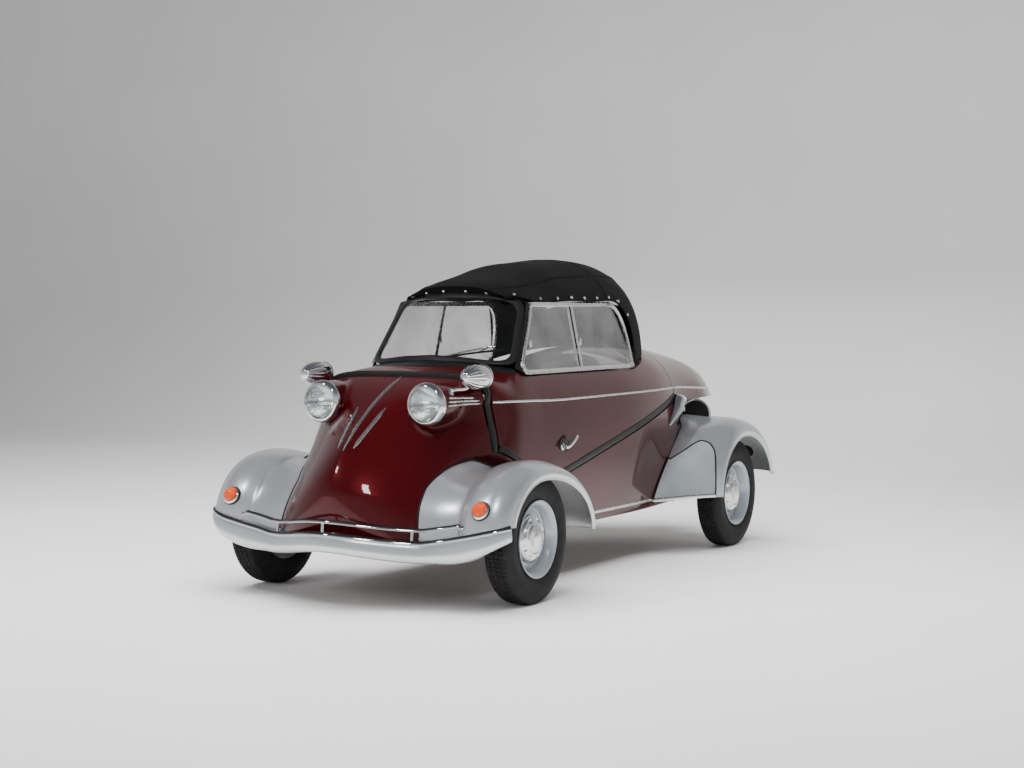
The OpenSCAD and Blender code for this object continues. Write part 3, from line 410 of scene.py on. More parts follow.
def clear_pane(name, color, rough, smear):
    """A thin clear pane: a mirror as strong as Fresnel's share of it, plus a faint film of dust, and open between."""
    m, t, s, p = base(name, Base_Color=color, Metallic=1.0, Roughness=rough, Alpha=0.12)
    n = node(t, "TexNoise", {"Vector": p}, Scale=5.0, Detail=4.0)
    film = node(t, "MapRange", {"Value": n.outputs["Fac"]}, From_Min=0.35, From_Max=0.8, To_Min=smear / 3, To_Max=smear)
    # Schlick's law: the mirror grows with (1 - cos)^5, the same on both faces of the pane.
    facing = node(t, "LayerWeight", Blend=0.5)
    gloss = node(t, "Math", {0: facing.outputs["Facing"]}, operation="POWER")
    gloss.inputs[1].default_value = 5.0
    node(t, "Math", {0: film.outputs["Result"], 1: gloss.outputs[0]}, to=s["Alpha"], operation="ADD", use_clamp=True)
    return m


def grained(name, low, high, rough, scale, depth, gloss=0.4, drift=9.0, **shader):
    """A dull solid whose colour drifts between two values, with a grain of a scale per metre and a depth in metres."""
    m, t, s, p = base(name, Roughness=rough, Specular_IOR_Level=gloss, **shader)
    big = node(t, "TexNoise", {"Vector": p}, Scale=drift, Detail=5.0)
    node(t, "ValToRGB", {"Fac": big.outputs["Fac"]}, to=s["Base Color"], stops=[(0.35, low), (0.7, high)])
    n = node(t, "TexNoise", {"Vector": p}, Scale=scale, Detail=4.0)
    node(t, "Bump", {"Height": n.outputs["Fac"]}, to=s["Normal"], Distance=depth, Strength=0.5)
    return m


def hood_cloth():
    # Double-texture cotton hood cloth: a plain weave of 0.5 mm threads, drawn 1.4 mm apart so that it shows.
    m, t, s, p = base("black_cotton_hood_cloth", Roughness=0.9, Sheen_Weight=0.02, Sheen_Roughness=0.4, Specular_IOR_Level=0.15)
    uv = node(t, "TexCoord").outputs["UV"]
    warp = node(t, "TexWave", {"Vector": uv}, Scale=224.0, wave_type="BANDS", bands_direction="X")
    weft = node(t, "TexWave", {"Vector": uv}, Scale=224.0, wave_type="BANDS", bands_direction="Y")
    both = node(t, "Math", {0: warp.outputs["Fac"], 1: weft.outputs["Fac"]}, operation="MULTIPLY")
    fade = node(t, "TexNoise", {"Vector": p}, Scale=7.0, Detail=4.0)
    node(t, "ValToRGB", {"Fac": fade.outputs["Fac"]}, to=s["Base Color"], stops=[(0.3, "#050506"), (0.75, "#0c0c0d")])
    node(t, "Bump", {"Height": both.outputs["Value"]}, to=s["Normal"], Distance=0.0004, Strength=0.8)
    return m


def seat_vinyl():
    # Embossed vinyl over foam: a leather grain of about 2 mm pebbles, satin.
    m, t, s, p = base("embossed_seat_vinyl", Roughness=0.46, Specular_IOR_Level=0.45)
    n = node(t, "TexNoise", {"Vector": p}, Scale=6.0, Detail=4.0)
    node(t, "ValToRGB", {"Fac": n.outputs["Fac"]}, to=s["Base Color"], stops=[(0.3, "#2a2a2c"), (0.7, "#353538")])
    v = node(t, "TexVoronoi", {"Vector": p}, Scale=480.0, feature="DISTANCE_TO_EDGE")
    edge = node(t, "MapRange", {"Value": v.outputs["Distance"]}, From_Max=0.06)
    node(t, "Bump", {"Height": edge.outputs["Result"]}, to=s["Normal"], Distance=0.0003, Strength=0.6)
    return m


def ribbed(name, color, rough, spacing, depth, **shader):
    """Moulded ribs at a spacing in metres across X: a band every 0.314 / spacing of the wave's scale."""
    m, t, s, p = base(name, Base_Color=color, Roughness=rough, **shader)
    w = node(t, "TexWave", {"Vector": p}, Scale=0.314 / spacing, wave_type="BANDS", bands_direction="X")
    node(t, "Bump", {"Height": w.outputs["Fac"]}, to=s["Normal"], Distance=depth, Strength=0.6)
    return m


PAINTS = {
    # Two-stage candy burgundy over fine aluminium flake, under a polished clear coat: deep and wet-looking.
    "burgundy": lambda: lacquer("burgundy_metallic_lacquer", "#2f0003", "#400107", "#760c15", 0.5, 0.32, 0.85),
    # Silver metallic over pressed steel under clear coat: soft, wide highlights.
    "silver": lambda: lacquer("silver_metallic_lacquer", "#c0c3c7", "#cccfd2", "#f0f1f2", 0.85, 0.3, 0.7),
    # Cool silver wheel enamel over pressed steel.
    "wheel": lambda: lacquer("silver_wheel_enamel", "#959ca4", "#a4abb2", "#d6dade", 0.6, 0.32, 0.8),
    # Nickel-chrome plate: near-mirror, a little haze from polishing.
    "chrome": lambda: metal("nickel_chrome_plate", "#dcdee0", 0.03, 0.12, 35.0, 0.00002),
    # Polished aluminium extrusion: bright, softer than chrome.
    "aluminium": lambda: metal("polished_aluminium", "#dededd", 0.24, 0.3, 60.0, 0.00001),
    # Parabolic reflector: vacuum-deposited aluminium.
    "reflector": lambda: metal("vacuum_metallised_reflector", "#e8eaea", 0.04, 0.1, 50.0, 0.00004),
    # Exhaust and silencer: mild steel, browned by heat.
    "steel": lambda: metal("heat_browned_steel", "#7a6f66", 0.35, 0.6, 18.0, 0.0003),
    # Windscreen: 5 mm float glass.
    "glass": lambda: clear_pane("clear_float_glass", "#f1f6f4", 0.0, 0.09),
    # Side panes: acrylic sheet, slightly softer in reflection.
    "acrylic": lambda: clear_pane("clear_acrylic_sheet", "#f3f6f6", 0.12, 0.3),
    # Bands, aprons and window channels: moulded black rubber with a fine grain.
    "rubber": lambda: grained("black_moulded_rubber", "#09090a", "#121213", 0.42, 830.0, 0.0002),
    # Tyres: matt vulcanised rubber with a little grey dust.
    "tyre": lambda: grained("vulcanised_tyre_rubber", "#0c0c0d", "#1a1a19", 0.74, 900.0, 0.0003, 0.35, 28.0),
    "cloth": hood_cloth,
    "vinyl": seat_vinyl,
    # Dashboard and handlebar housings: wrinkle-finish black paint with ridges about 1.5 mm apart.
    "crackle": lambda: grained("wrinkle_black_paint", "#111112", "#181819", 0.55, 650.0, 0.0006, 0.4, 5.0),
    # Frame and arms: brushed-on chassis enamel, black, half gloss, with road dust.
    "chassis": lambda: grained("black_chassis_enamel", "#141517", "#2a2826", 0.42, 160.0, 0.0004, 0.45, 14.0),
    # Engine and gearbox cases: sand-cast alloy, grainy, with oil-dark hollows.
    "alloy": lambda: grained("sand_cast_alloy", "#4a4b4c", "#86888a", 0.55, 420.0, 0.0006, 0.5, 12.0, Metallic=0.85),
    # Stone guards on the rear fenders: ribbed grey rubber sheet.
    "guard": lambda: grained("grey_pebbled_rubber_sheet", "#757b7d", "#858b8c", 0.5, 420.0, 0.0012, 0.4, 6.0),
    # Front lamps and rear lamps: moulded acrylic, ribbed 5 mm apart.
    "amber": lambda: ribbed("amber_ribbed_acrylic", "#d8480a", 0.12, 0.005, 0.0006, Transmission_Weight=0.12, IOR=1.49),
    "red": lambda: ribbed("red_ribbed_acrylic", "#a01010", 0.12, 0.005, 0.0006, Transmission_Weight=0.3, IOR=1.49),
    # Pressed headlamp glass: clear, with upright flutes 7 mm wide.
    "headlamp": lambda: ribbed("fluted_headlamp_glass", "#f4f7f7", 0.02, 0.007, 0.0012, Transmission_Weight=1.0, IOR=1.48),
    # Compression-moulded ivory grips, slightly yellowed in the hollows.
    "ivory": lambda: grained("ivory_moulded_grip", "#d9cfae", "#e6dfc6", 0.3, 60.0, 0.0001, 0.5, 11.0),
    # Floor mat: rubber with ribs 6 mm apart.
    "mat": lambda: ribbed("ribbed_rubber_mat", "#1b1b1d", 0.7, 0.006, 0.001),
    # Matt painted studio floor, very faintly mottled.
    "floor": lambda: grained("pale_studio_floor", "#e6e5e3", "#ebeae8", 0.75, 3.0, 0.0001, 0.2, 0.8),
}
_made = {}


def material(key):
    """The material of that key, made once."""
    if key not in _made:
        _made[key] = PAINTS[key]()
    return _made[key]


# ---------------------------------------------------------------- edges that several panels share
ARC_R, VEE_SLOPE, VEE_Z, VEE_Y = 322.0, 0.213, 671.0, -711.0
LID_Y0 = LID_FRONT_Y + SHUT_GAP + SEAL_W
LID_Y1 = REAR_CUT_Y - SHUT_GAP / 2
LID_RIGHT_Z = HINGE_Z + SHUT_GAP / 2


def lid_edge_z(y):
    """Height of the lid's lower edge on the left: the higher of a rising line and an arc over the front wheel."""
    line = VEE_Z - VEE_SLOPE * (REAR_CUT_Y - y)
    arc = TYRE_R + np.sqrt(np.maximum(0, ARC_R**2 - (y - FRONT_AXLE_Y) ** 2))
    return np.maximum(line, arc) + SEAL_W / 2


def edge_stations(k_front, k_rear):
    """Places along the car from the lid's front to its rear, with one at the corner of its lower edge."""
    return np.concatenate([np.linspace(LID_Y0, VEE_Y, k_front + 1), np.linspace(VEE_Y, LID_Y1, k_rear + 1)[1:]])


# ---------------------------------------------------------------- nose and headlight pods
LAMP = np.array([228.0, -1145.5, 714.0])
LAMP_R, POD_R, POD_END_Y = 72.0, 77.0, -885.0


def nose_part(rows, cols):
    """The nose as a closed shell: points at distance r along rays (sin a cos e, -sin e, cos a cos e) from the seam's middle."""
    e = np.radians(89.6 * (1 - (1 - np.linspace(0, 1, rows)) ** 1.15))[:, None]
    a = np.arange(cols) * 2 * pi / cols

    def at(r):
        return np.stack([r * np.sin(a) * np.cos(e), LID_FRONT_Y - r * np.sin(e), AXIS_Z + r * np.cos(a) * np.cos(e)], -1)

    def inside(r):
        p = at(r)
        return (p[..., 2] > SILL_Z) & (np.abs(p[..., 0]) < side_x(p[..., 1], p[..., 2]))

    r = bisect(inside, 0, 900, (rows, cols))
    # The edge of the flat bottom is rounded by a running mean along each ring near it.
    low = at(r)[..., 2] < SILL_Z + 30
    soft = (np.roll(r, 1, 1) + np.roll(r, -1, 1) + 2 * r) / 4
    r = np.where(low, soft, r)
    return rings_solid(np.concatenate([at(r)[::-1], at(r - WALL)[:: rows // 24]]))


def pod_pt(k, y, rho=1.0):
    """Round section of a headlight pod that narrows to the rear by a superellipse; k is the angle from its top."""
    t = (y - LAMP[1]) / (POD_END_Y - LAMP[1])
    r = rho * POD_R * superell(t, 2.2)
    return np.stack([LAMP[0] + 24 * t + r * np.sin(k), y, LAMP[2] + 8 * t + r * np.cos(k)], -1)


def pod_meets(k, rho):
    """Where a line along the pod, at rho times its radius, runs into the nose; at most the lid's seam."""

    def outside(y):
        p = pod_pt(k, y, rho)
        return p[..., 0] > side_x(p[..., 1], p[..., 2])

    return bisect(outside, LAMP[1] + 1, LID_FRONT_Y - 1.5, k.shape)


def pod_part(cols=96):
    """Pod with a fillet: a quadratic Bezier from the tube over the corner to the nose's skin round it."""
    k = -np.arange(cols) * 2 * pi / cols
    y_c = pod_meets(k, 1.0)
    wide = 1.34
    y_b = pod_meets(k, wide)
    a = pod_pt(k, np.maximum(y_c - 42, LAMP[1] + 4))
    c = pod_pt(k, y_c)
    b = pod_pt(k, y_b, wide)
    away = np.arctan2(b[:, 0], b[:, 2] - AXIS_Z)
    b = skin_pt(b[:, 1], away, 0.4)
    t = np.linspace(0, 1, 22)[:, None, None]
    bend = (1 - t) ** 2 * a + 2 * t * (1 - t) * c + t**2 * b
    s = np.linspace(0, 1, 10)[:, None]
    along = pod_pt(k, lerp(LAMP[1], a[:, 1], s))[:-1]
    sunk = skin_pt(b[:, 1], away, 9.0)[None]
    hole = np.stack([pod_pt(k, np.full_like(k, LAMP[1] + d), q) for d, q in ((62, 0.3), (58, 0.8), (8, 0.93), (0, 0.95))])
    return rings_solid(np.concatenate([hole, along, bend, sunk]))


def spear(points, width, lift=2.0):
    """A half-round chrome strip through (x, y) points, laid on the nose; it narrows at both ends."""
    p = spline_rows(np.array(points, float), 12)
    top = nose_drop(p[:, 0], p[:, 1])
    mid = np.stack([p[:, 0], p[:, 1], top], 1)
    eps = 2.0
    n = unit(np.stack([nose_drop(p[:, 0] - eps, p[:, 1]) - nose_drop(p[:, 0] + eps, p[:, 1]),
                       nose_drop(p[:, 0], p[:, 1] - eps) - nose_drop(p[:, 0], p[:, 1] + eps),
                       np.full(len(p), 2 * eps)], 1))
    t = np.linspace(0, 1, len(p))
    w = width * (0.25 + 0.75 * np.minimum(1, 6 * np.minimum(t, 1 - t))) / 2
    ring = circle(1.0, 12) * [1, 1]
    return tube(mid + n * 0.5, ring[None] * np.stack([w, np.full_like(w, lift + 1)], 1)[:, None], ups=n)


def nose_drop(x, y):
    """Height of the nose above a place (x, y), met from above."""

    def free(d):
        z = 900 - d
        return np.abs(x) >= side_x(y, z)

    return 900 - bisect(free, 0, 640, np.shape(x))


# ---------------------------------------------------------------- tub, tail and engine cover
def tub_part():
    """Tub: each section runs from its left edge down, under the floor and up to its right edge."""
    ys = np.concatenate([[LID_FRONT_Y], edge_stations(28, 60), [REAR_CUT_Y]])[:, None]
    t = np.linspace(0, 1, 22)

    def half(s, top, inset):
        z = lerp(top, SILL_Z + 26, t)
        wall = np.stack([s * (side_x(ys, z) - inset), ys + 0 * z, z], -1)
        a = np.radians(np.linspace(0, 90, 7))[1:]
        x0 = side_x(ys, np.full_like(ys, SILL_Z + 26)) - 26
        r = 26 - inset * 0.9
        turn = np.stack([s * (x0 + r * np.cos(a)), ys + 0 * a, SILL_Z + 26 - r * np.sin(a) + 0 * ys], -1)
        flat = np.stack([s * x0 * np.linspace(0.8, 0.2, 4), ys + np.zeros(4), SILL_Z + 26 - r + np.zeros((len(ys), 4))], -1)
        return np.concatenate([wall, turn, flat], 1)

    def line(inset):
        left = half(1, lid_edge_z(ys) - SEAL_W - SHUT_GAP, inset)
        right = half(-1, np.full_like(ys, HINGE_Z - SHUT_GAP / 2), inset)
        return np.concatenate([left, right[:, ::-1]], 1)

    return shell(line(0), line(WALL))


def tail_in(y):
    """How far the tail's wall stands in from the master surface."""
    return 34 * smooth((y - REAR_CUT_Y - 60) / 90)


def tail_part():
    """Tail: a wall round the engine bay; t runs from its left front corner round the rear, u down its height."""
    a = np.radians(180 * np.linspace(0, 1, 121) - 90)
    u = np.linspace(0, 1, 20)[:, None]

    def at(inset):
        y = REAR_CUT_Y + (TAIL_END_Y - REAR_CUT_Y - inset) * np.maximum(0, np.cos(a)) ** 0.45
        low = SILL_Z + 130 * smooth((y - REAR_CUT_Y - 10) / 110)
        z = lerp(COVER_Z - SHUT_GAP / 2, low, u)
        x = (side_x(y, z) - tail_in(y) - inset) * np.abs(np.sin(a)) ** 0.3
        return np.stack([-np.sign(a) * x, y + 0 * z, z], -1)

    return shell(at(0), at(14))


def cover_line(y, cols, inset):
    """Section of the engine cover from its left lower edge over the top to the right one."""
    z = lerp(COVER_Z, 600, smooth((y - 1400) / 100))
    a = np.arctan2(np.maximum(1, side_x(y, z) - inset), z - AXIS_Z)
    return skin_pt(y[:, None], lerp(a[:, None], -a[:, None], np.linspace(0, 1, cols)), inset)


def cover_parts():
    """Engine cover, with its open end closed by a crowned plate between its two sides."""
    ys = lerp(REAR_CUT_Y + SHUT_GAP / 2, TAIL_Y - 2, 1 - (1 - np.linspace(0, 1, 72)) ** 1.4)
    outer, inner = cover_line(ys, 73, 0), cover_line(ys, 73, 9)
    end = outer[-1]
    half = len(end) // 2
    left, right = end[: half + 1], end[::-1][: half + 1]
    t = np.linspace(0, 1, 13)[:, None, None]
    plate = lerp(left, right, t)
    plate[..., 1] += 2 * (1 - (2 * t[..., 0] - 1) ** 2)
    back = plate - [0, 4, 0]
    return [shell(outer, inner), shell(plate, back)]


# ---------------------------------------------------------------- glasshouse
SCREEN_LOW, SCREEN_TOP = np.array([321.0, -674.0, 834.0]), np.array([274.0, -508.0, 1088.0])
SCREEN_LOW_BOW, SCREEN_TOP_BOW = (86.0, 27.0), (68.0, 25.0)
WIN_X0, WIN_X1 = 346.0, 290.0
WIN_FRONT, WIN_FRONT_TOP, WIN_REAR = -648.0, -520.0, 300.0
HOOD_Y0, HOOD_Z0, HOOD_A, HOOD_Q, HOOD_LEN, HOOD_FRONT = 140.0, 800.0, 356.0, 2.6, 500.0, -524.0


def screen_pt(c, s):
    """Windscreen: c is -1 to 1 across and s 0 to 1 up; both edges bow forward and up by (1 - c^2)."""
    c, s = np.broadcast_arrays(np.asarray(c, float), np.asarray(s, float))
    q = 1 - c * c
    a, b = SCREEN_LOW, SCREEN_TOP
    return np.stack([c * lerp(a[0], b[0], s),
                     lerp(a[1] - SCREEN_LOW_BOW[0] * q, b[1] - SCREEN_TOP_BOW[0] * q, s),
                     lerp(a[2] + SCREEN_LOW_BOW[1] * q, b[2] + SCREEN_TOP_BOW[1] * q, s)], -1)


def screen_n(c, s):
    """Outward normal of the windscreen."""
    p = screen_pt(c, s)
    return unit(np.cross(screen_pt(c, s + 0.01) - p, screen_pt(c + 0.01, s) - p))


def screen_sheet(thick):
    """The glass: its outline is a superellipse of order 8."""
    s = (0.5 - 0.44 * np.cos(np.radians(180 * np.linspace(0, 1, 33))))[:, None]
    m = 0.945 * superell((2 * s - 1) / 0.945, 8)
    c = np.linspace(-1, 1, 65) * m
    p, n = screen_pt(c, s), screen_n(c, s)
    return shell(p + n * thick / 2, p - n * thick / 2)


def screen_hoop(profile, inset=0.0, count=240):
    """A profile of (inwards, outwards) points round the windscreen's outline."""
    a = np.arange(count) * 2 * pi / count
    c = np.sign(np.cos(a)) * np.abs(np.cos(a)) ** 0.25
    s = (np.sign(np.sin(a)) * np.abs(np.sin(a)) ** 0.25 + 1) / 2
    q, n = screen_pt(c, s), screen_n(c, s)
    w = unit(screen_pt(c * 0.93, lerp(0.5, s, 0.9)) - q)
    w = unit(w - n * (w * n).sum(-1, keepdims=True))
    pr = np.asarray(profile, float)
    rings = q[:, None] + w[:, None] * (pr[:, :1] + inset) + n[:, None] * pr[:, 1:]
    return rings_solid(rings, closed=True)


def win_reach(b):
    """Reach of the window's rear end from the dome's centre at angle b."""
    c, s = np.maximum(0, np.cos(b)), np.maximum(0, np.sin(b))
    return ((c / (WIN_REAR - HOOD_Y0)) ** 2.6 + (s / (WINDOW_TOP_Z - HOOD_Z0)) ** 2.6) ** (-1 / 2.6)


def window_loop(inset):
    """Outline of a side window in (y, z), drawn in by inset."""
    r = 34 - inset / 2
    low, top = WINDOW_LOW_Z + inset, WINDOW_TOP_Z - inset
    b = np.radians(np.linspace(0, 90, 41))
    k = win_reach(b) - inset
    rear = np.stack([HOOD_Y0 + k * np.cos(b), np.maximum(low, HOOD_Z0 + k * np.sin(b))], 1)
    a = np.radians(np.linspace(0, 90, 11))
    up = np.stack([WIN_FRONT_TOP + inset + r - r * np.sin(a), top - r + r * np.cos(a)], 1)
    down = np.stack([WIN_FRONT + inset + r - r * np.cos(a), low + r - r * np.sin(a)], 1)
    a = np.radians(np.linspace(8, 72, 9))
    last = np.stack([WIN_REAR - inset - r + r * np.sin(a), low + r - r * np.cos(a)], 1)
    loop = np.concatenate([rear, up, down, last])
    # Spaced evenly, so that the same count fits every inset.
    step = np.linalg.norm(np.diff(np.concatenate([loop, loop[:1]]), axis=0), axis=1)
    s = np.concatenate([[0], np.cumsum(step)])
    even = np.linspace(0, s[-1], 221)[:-1]
    closed = np.concatenate([loop, loop[:1]])
    return np.stack([np.interp(even, s, closed[:, 0]), np.interp(even, s, closed[:, 1])], 1)


def on_window(yz, out=0.0):
    """A place (y, z) in the plane of the left side window, moved out by out."""
    t = (yz[..., 1] - WINDOW_LOW_Z) / (WINDOW_TOP_Z - WINDOW_LOW_Z)
    return np.stack([lerp(WIN_X0, WIN_X1, t) + out, yz[..., 0], yz[..., 1]], -1)


def window_hoop(profile):
    """A frame round the side window: each profile point is (inset, out)."""
    rings = np.stack([on_window(window_loop(i), o) for i, o in profile], 1)
    return rings_solid(rings, closed=True)


def window_pane(inset, out, thick, y_from=-2000.0, y_to=2000.0):
    """A flat pane inside the frame, cut off at two places along the car."""
    loop = window_loop(inset)
    loop = np.stack([np.clip(loop[:, 0], y_from, y_to), loop[:, 1]], 1)
    return rings_solid(np.stack([on_window(loop, out + thick / 2), on_window(loop, out - thick / 2)]))


def pane_bar(y, out, w, t):
    """An upright bar in the window's plane at y, w wide and t thick."""
    loop = window_loop(14)
    here = np.abs(loop[:, 0] - y) < 30
    z0, z1 = loop[here, 1].min() + 1, loop[here, 1].max() - 1
    z = np.linspace(z0, z1, 12)
    path = on_window(np.stack([np.full_like(z, y), z], 1), out)
    a = np.arange(16) * 2 * pi / 16
    ring = np.stack([np.sign(np.cos(a)) * np.abs(np.cos(a)) ** 0.4 * w / 2, np.sign(np.sin(a)) * np.abs(np.sin(a)) ** 0.4 * t / 2], 1)
    return tube(path, ring, up=(1, 0, 0))


# ---------------------------------------------------------------- soft top
VALANCE = 5


def hood_edge(y):
    """Height of the cloth's lower edge along the windows."""
    return WINDOW_TOP_Z + 9 + 16 * smooth((-410 - y) / 90)


def hood_crown(y):
    """Height of the cloth on the centre line."""
    return HOOD_TOP_Z - np.where(y < 150, 128 * (np.maximum(0, 150 - y) / 710) ** 2.2, 0)


def hood_h(b):
    """Reach of the dome behind the windows at angle b."""
    c, s = np.maximum(0, np.cos(b)), np.maximum(0, np.sin(b))
    return ((c / HOOD_LEN) ** HOOD_Q + (s / (hood_crown(np.array(HOOD_Y0)) - HOOD_Z0)) ** HOOD_Q) ** (-1 / HOOD_Q)


def hood_grid(off, rows_front=90, rows_rear=72, cols=113, edge_drop=0.0):
    """The cloth: sections x = A sin^(2/Q) t, height h cos^(2/Q) t, first upright, then fanned down behind."""
    y = np.linspace(HOOD_FRONT, HOOD_Y0, rows_front)
    b = np.radians(np.concatenate([np.full(rows_front, 90.0), np.linspace(90, 10, rows_rear + 1)[1:]]))
    y = np.concatenate([y, np.full(rows_rear, HOOD_Y0)])
    front = np.arange(len(y)) < rows_front
    h = np.where(front, hood_crown(y) - HOOD_Z0, hood_h(b))
    e = np.where(front, hood_edge(y) - HOOD_Z0, win_reach(b) + 9) - edge_drop
    t_edge = np.arccos(np.clip((e / h) ** (HOOD_Q / 2), -1, 1))
    t = t_edge[:, None] * np.linspace(1, -1, cols)
    x = np.sign(t) * HOOD_A * np.abs(np.sin(t)) ** (2 / HOOD_Q)
    # The bows under the cloth: three ridges, with the cloth drawn down a little between them.
    bows = np.array([-500.0, -180.0, 130.0])
    sag = np.where(front, 5.0 * np.sin(pi * (y - bows[0]) / 315) ** 2, 0)
    shrink = (h - off - sag) / h
    r = h[:, None] * np.cos(t) ** (2 / HOOD_Q) * shrink[:, None]
    shear = 68 * (1 - (x / HOOD_A) ** 2) * smooth((-250 - y[:, None]) / 270) * front[:, None]
    # Tension folds run from the rear quarters up towards the last bow.
    u = np.linspace(-1, 1, cols)[None, :]
    q = np.clip((np.degrees(b)[:, None] - 10) / 80, 0, 1)
    fold = 2.2 * np.sin(9 * pi * np.abs(u) + 5 * q) * np.exp(-((np.abs(u) - 0.72) / 0.22) ** 2) * np.sin(pi * q) * (~front)[:, None]
    r = r - fold
    roof = np.stack([x * (HOOD_A - off) / HOOD_A, y[:, None] + np.cos(b)[:, None] * r * (~front)[:, None] - shear,
                     HOOD_Z0 + np.sin(b)[:, None] * r], -1)
    # In front the cloth turns down over the windscreen's top rail, in VALANCE rows.
    c = np.linspace(1, -1, cols)
    foot = screen_pt(c, 1.0 + 0 * c) + screen_n(c, 1.0 + 0 * c) * (11.5 - off)
    w = (np.arange(VALANCE) / VALANCE)[:, None, None]
    drop = lerp(foot, roof[0], w) + np.sin(pi * w) * [0, -5.0, 4.0]
    return np.concatenate([drop, roof])


# ---------------------------------------------------------------- fenders and bumper
FENDER_X, REAR_FENDER_X = 645.0, 622.0
BUMPER_FRONT, BUMPER_HW = -1500.0, 651.0
FRONT_ROWS = [(FENDER_X - 6, 239, 362, 216, 2), (FENDER_X, 250, 372, 236, 2), (FENDER_X - 10, 280, 378, 258, 2.05),
              (FENDER_X - 45, 308, 384, 274, 2.15), (560, 319, 385, 281, 2.2), (500, 315, 382, 275, 2.2),
              (458, 302, 375, 262, 2.15), (436, 296, 362, 250, 2.1)]
FRONT_WEB = (0, 318, 360, 277, 2)
REAR_ROWS = [(REAR_FENDER_X - 6, 262, 300, 256, 2), (REAR_FENDER_X, 276, 310, 280, 2),
             (REAR_FENDER_X - 12, 288, 318, 305, 2), (REAR_FENDER_X - 50, 325, 322, 325, 1.9),
             (525, 380, 322, 334, 1.8), (470, 440, 320, 336, 1.6), (425, 490, 318, 337, 1.4)]
REAR_WEB = (0, 516, 318, 350, 1.25)


def arc_pt(c, row, p):
    """Point of a fender round axle c at angle p: a superellipse with its own reach ahead and behind."""
    ahead = p < pi / 2
    a, n = np.where(ahead, row[1], row[2]), np.where(ahead, row[4], 2.0)
    co, si = np.cos(p), np.maximum(0, np.sin(p))
    return np.stack([np.full_like(p, row[0]), c - np.sign(co) * a * np.abs(co) ** (2 / n), TYRE_R + row[3] * si ** (2 / n)], -1)


def blade_top(x):
    """Height of the bumper's upper edge: lowest at 330 from the middle, rising towards its ends."""
    u = np.abs(x)
    return 270 - 29 * smooth(u / 330) + 65 * (np.maximum(0, u - 330) / 325) ** 1.15


def blade_low(x):
    """Height of the bumper's lower edge."""
    u = np.abs(x)
    return 204 - 36 * smooth(u / 330) + 90 * (np.maximum(0, u - 400) / 255) ** 1.9


def front_fender_grid(k_rows, cols):
    """Front fender: eight curves over the wheel, then a valley and a web to the nose, joined by splines across."""
    t = np.linspace(0, 1, cols)

    def sweep(x, rise):
        return np.radians(lerp(np.degrees(np.arcsin((blade_top(x) + 2 - TYRE_R) / rise)), 179, t))

    rows = [arc_pt(FRONT_AXLE_Y, r, sweep(r[0], r[3])) for r in FRONT_ROWS]
    p = sweep(300, FRONT_WEB[3])
    q = arc_pt(FRONT_AXLE_Y, FRONT_WEB, np.minimum(p, radians(92)))
    away = arc_pt(FRONT_AXLE_Y, (434, 300, 360, 242, 2), p)
    on_nose = np.stack([side_x(q[:, 1], q[:, 2]) - 3, q[:, 1], q[:, 2]], -1)
    web = lerp(on_nose, away, smooth((np.degrees(p) - 84) / 10)[:, None])
    mid = (rows[-1] + web) / 2
    mid[:, 2] -= 10 * (1 - smooth((np.degrees(p) - 84) / 16))
    return spline_rows(np.stack(rows + [mid, web]), k_rows)


def rear_fender_grid(k_rows, cols):
    """Rear fender: seven curves over the wheel, then a web to the tail."""
    p = np.radians(lerp(2, 166, np.linspace(0, 1, cols)))
    rows = [arc_pt(REAR_AXLE_Y, r, p) for r in REAR_ROWS]
    q = arc_pt(REAR_AXLE_Y, REAR_WEB, p)
    gap = np.where(q[:, 1] > REAR_CUT_Y, tail_in(q[:, 1]), 0)
    web = np.stack([side_x(q[:, 1], q[:, 2]) - gap - 3, q[:, 1], q[:, 2]], -1)
    mid = (rows[-1] + web) / 2
    return spline_rows(np.stack(rows + [mid, web]), k_rows)


def fender_parts(grid, thick=2.5):
    """A pressed fender with a wired edge along its arch and its two ends."""
    n = normals(grid)
    if n[len(n) // 3, n.shape[1] // 2, 2] < 0:
        n = -n
    edge = np.concatenate([grid[:, 0][::-1], grid[0], grid[:, -1]])
    keep = np.concatenate([[True], np.linalg.norm(np.diff(edge, axis=0), axis=1) > 0.5])
    arch = grid[0] + np.array([-1.5, 0, 0])
    return [shell(grid, grid - n * thick), tube(arch, circle(4.0, 10), up=(1, 0, 0)),
            tube(grid[:, 0] + [0, 0, 0.5], circle(3.0, 8), up=(0, 0, 1)), tube(grid[:, -1], circle(3.0, 8), up=(0, 1, 0))], edge[keep]


def guard_parts(grid, cols=30):
    """Stone guard on the rear fender's front: rows of the fender's skin cut short by a curve, raised 2 mm, with its bead
    and the bright strip on its lower edge."""
    n = normals(grid)
    n = n if n[5, 20, 1] < 0 else -n
    i = np.arange(12, 39)
    end = np.interp(i, [12, 13, 14, 15, 16, 18, 20, 22, 24, 26, 28, 31, 34, 38], [6, 20, 28, 33, 36, 40, 42, 43, 41, 38, 36, 34, 33, 34])
    j = 1 + np.linspace(0, 1, cols)[None] * (end[:, None] - 1)
    low, w = j.astype(int), (j % 1)[..., None]

    def at(field):
        return lerp(field[i[:, None], low], field[i[:, None], low + 1], w)

    p, q = at(grid), unit(at(n))
    loop = np.concatenate([p[0], p[1:, -1], p[-1, ::-1][1:]]) + np.concatenate([q[0], q[1:, -1], q[-1, ::-1][1:]]) * 2.4
    strip = (p + q * 3)[:, 0]
    return shell(p + q * 2.2, p - q * 1.0), tube(loop, circle(3.4, 10)), tube(strip, circle(1, 10) * [8, 2.6], ups=q[:, 0])


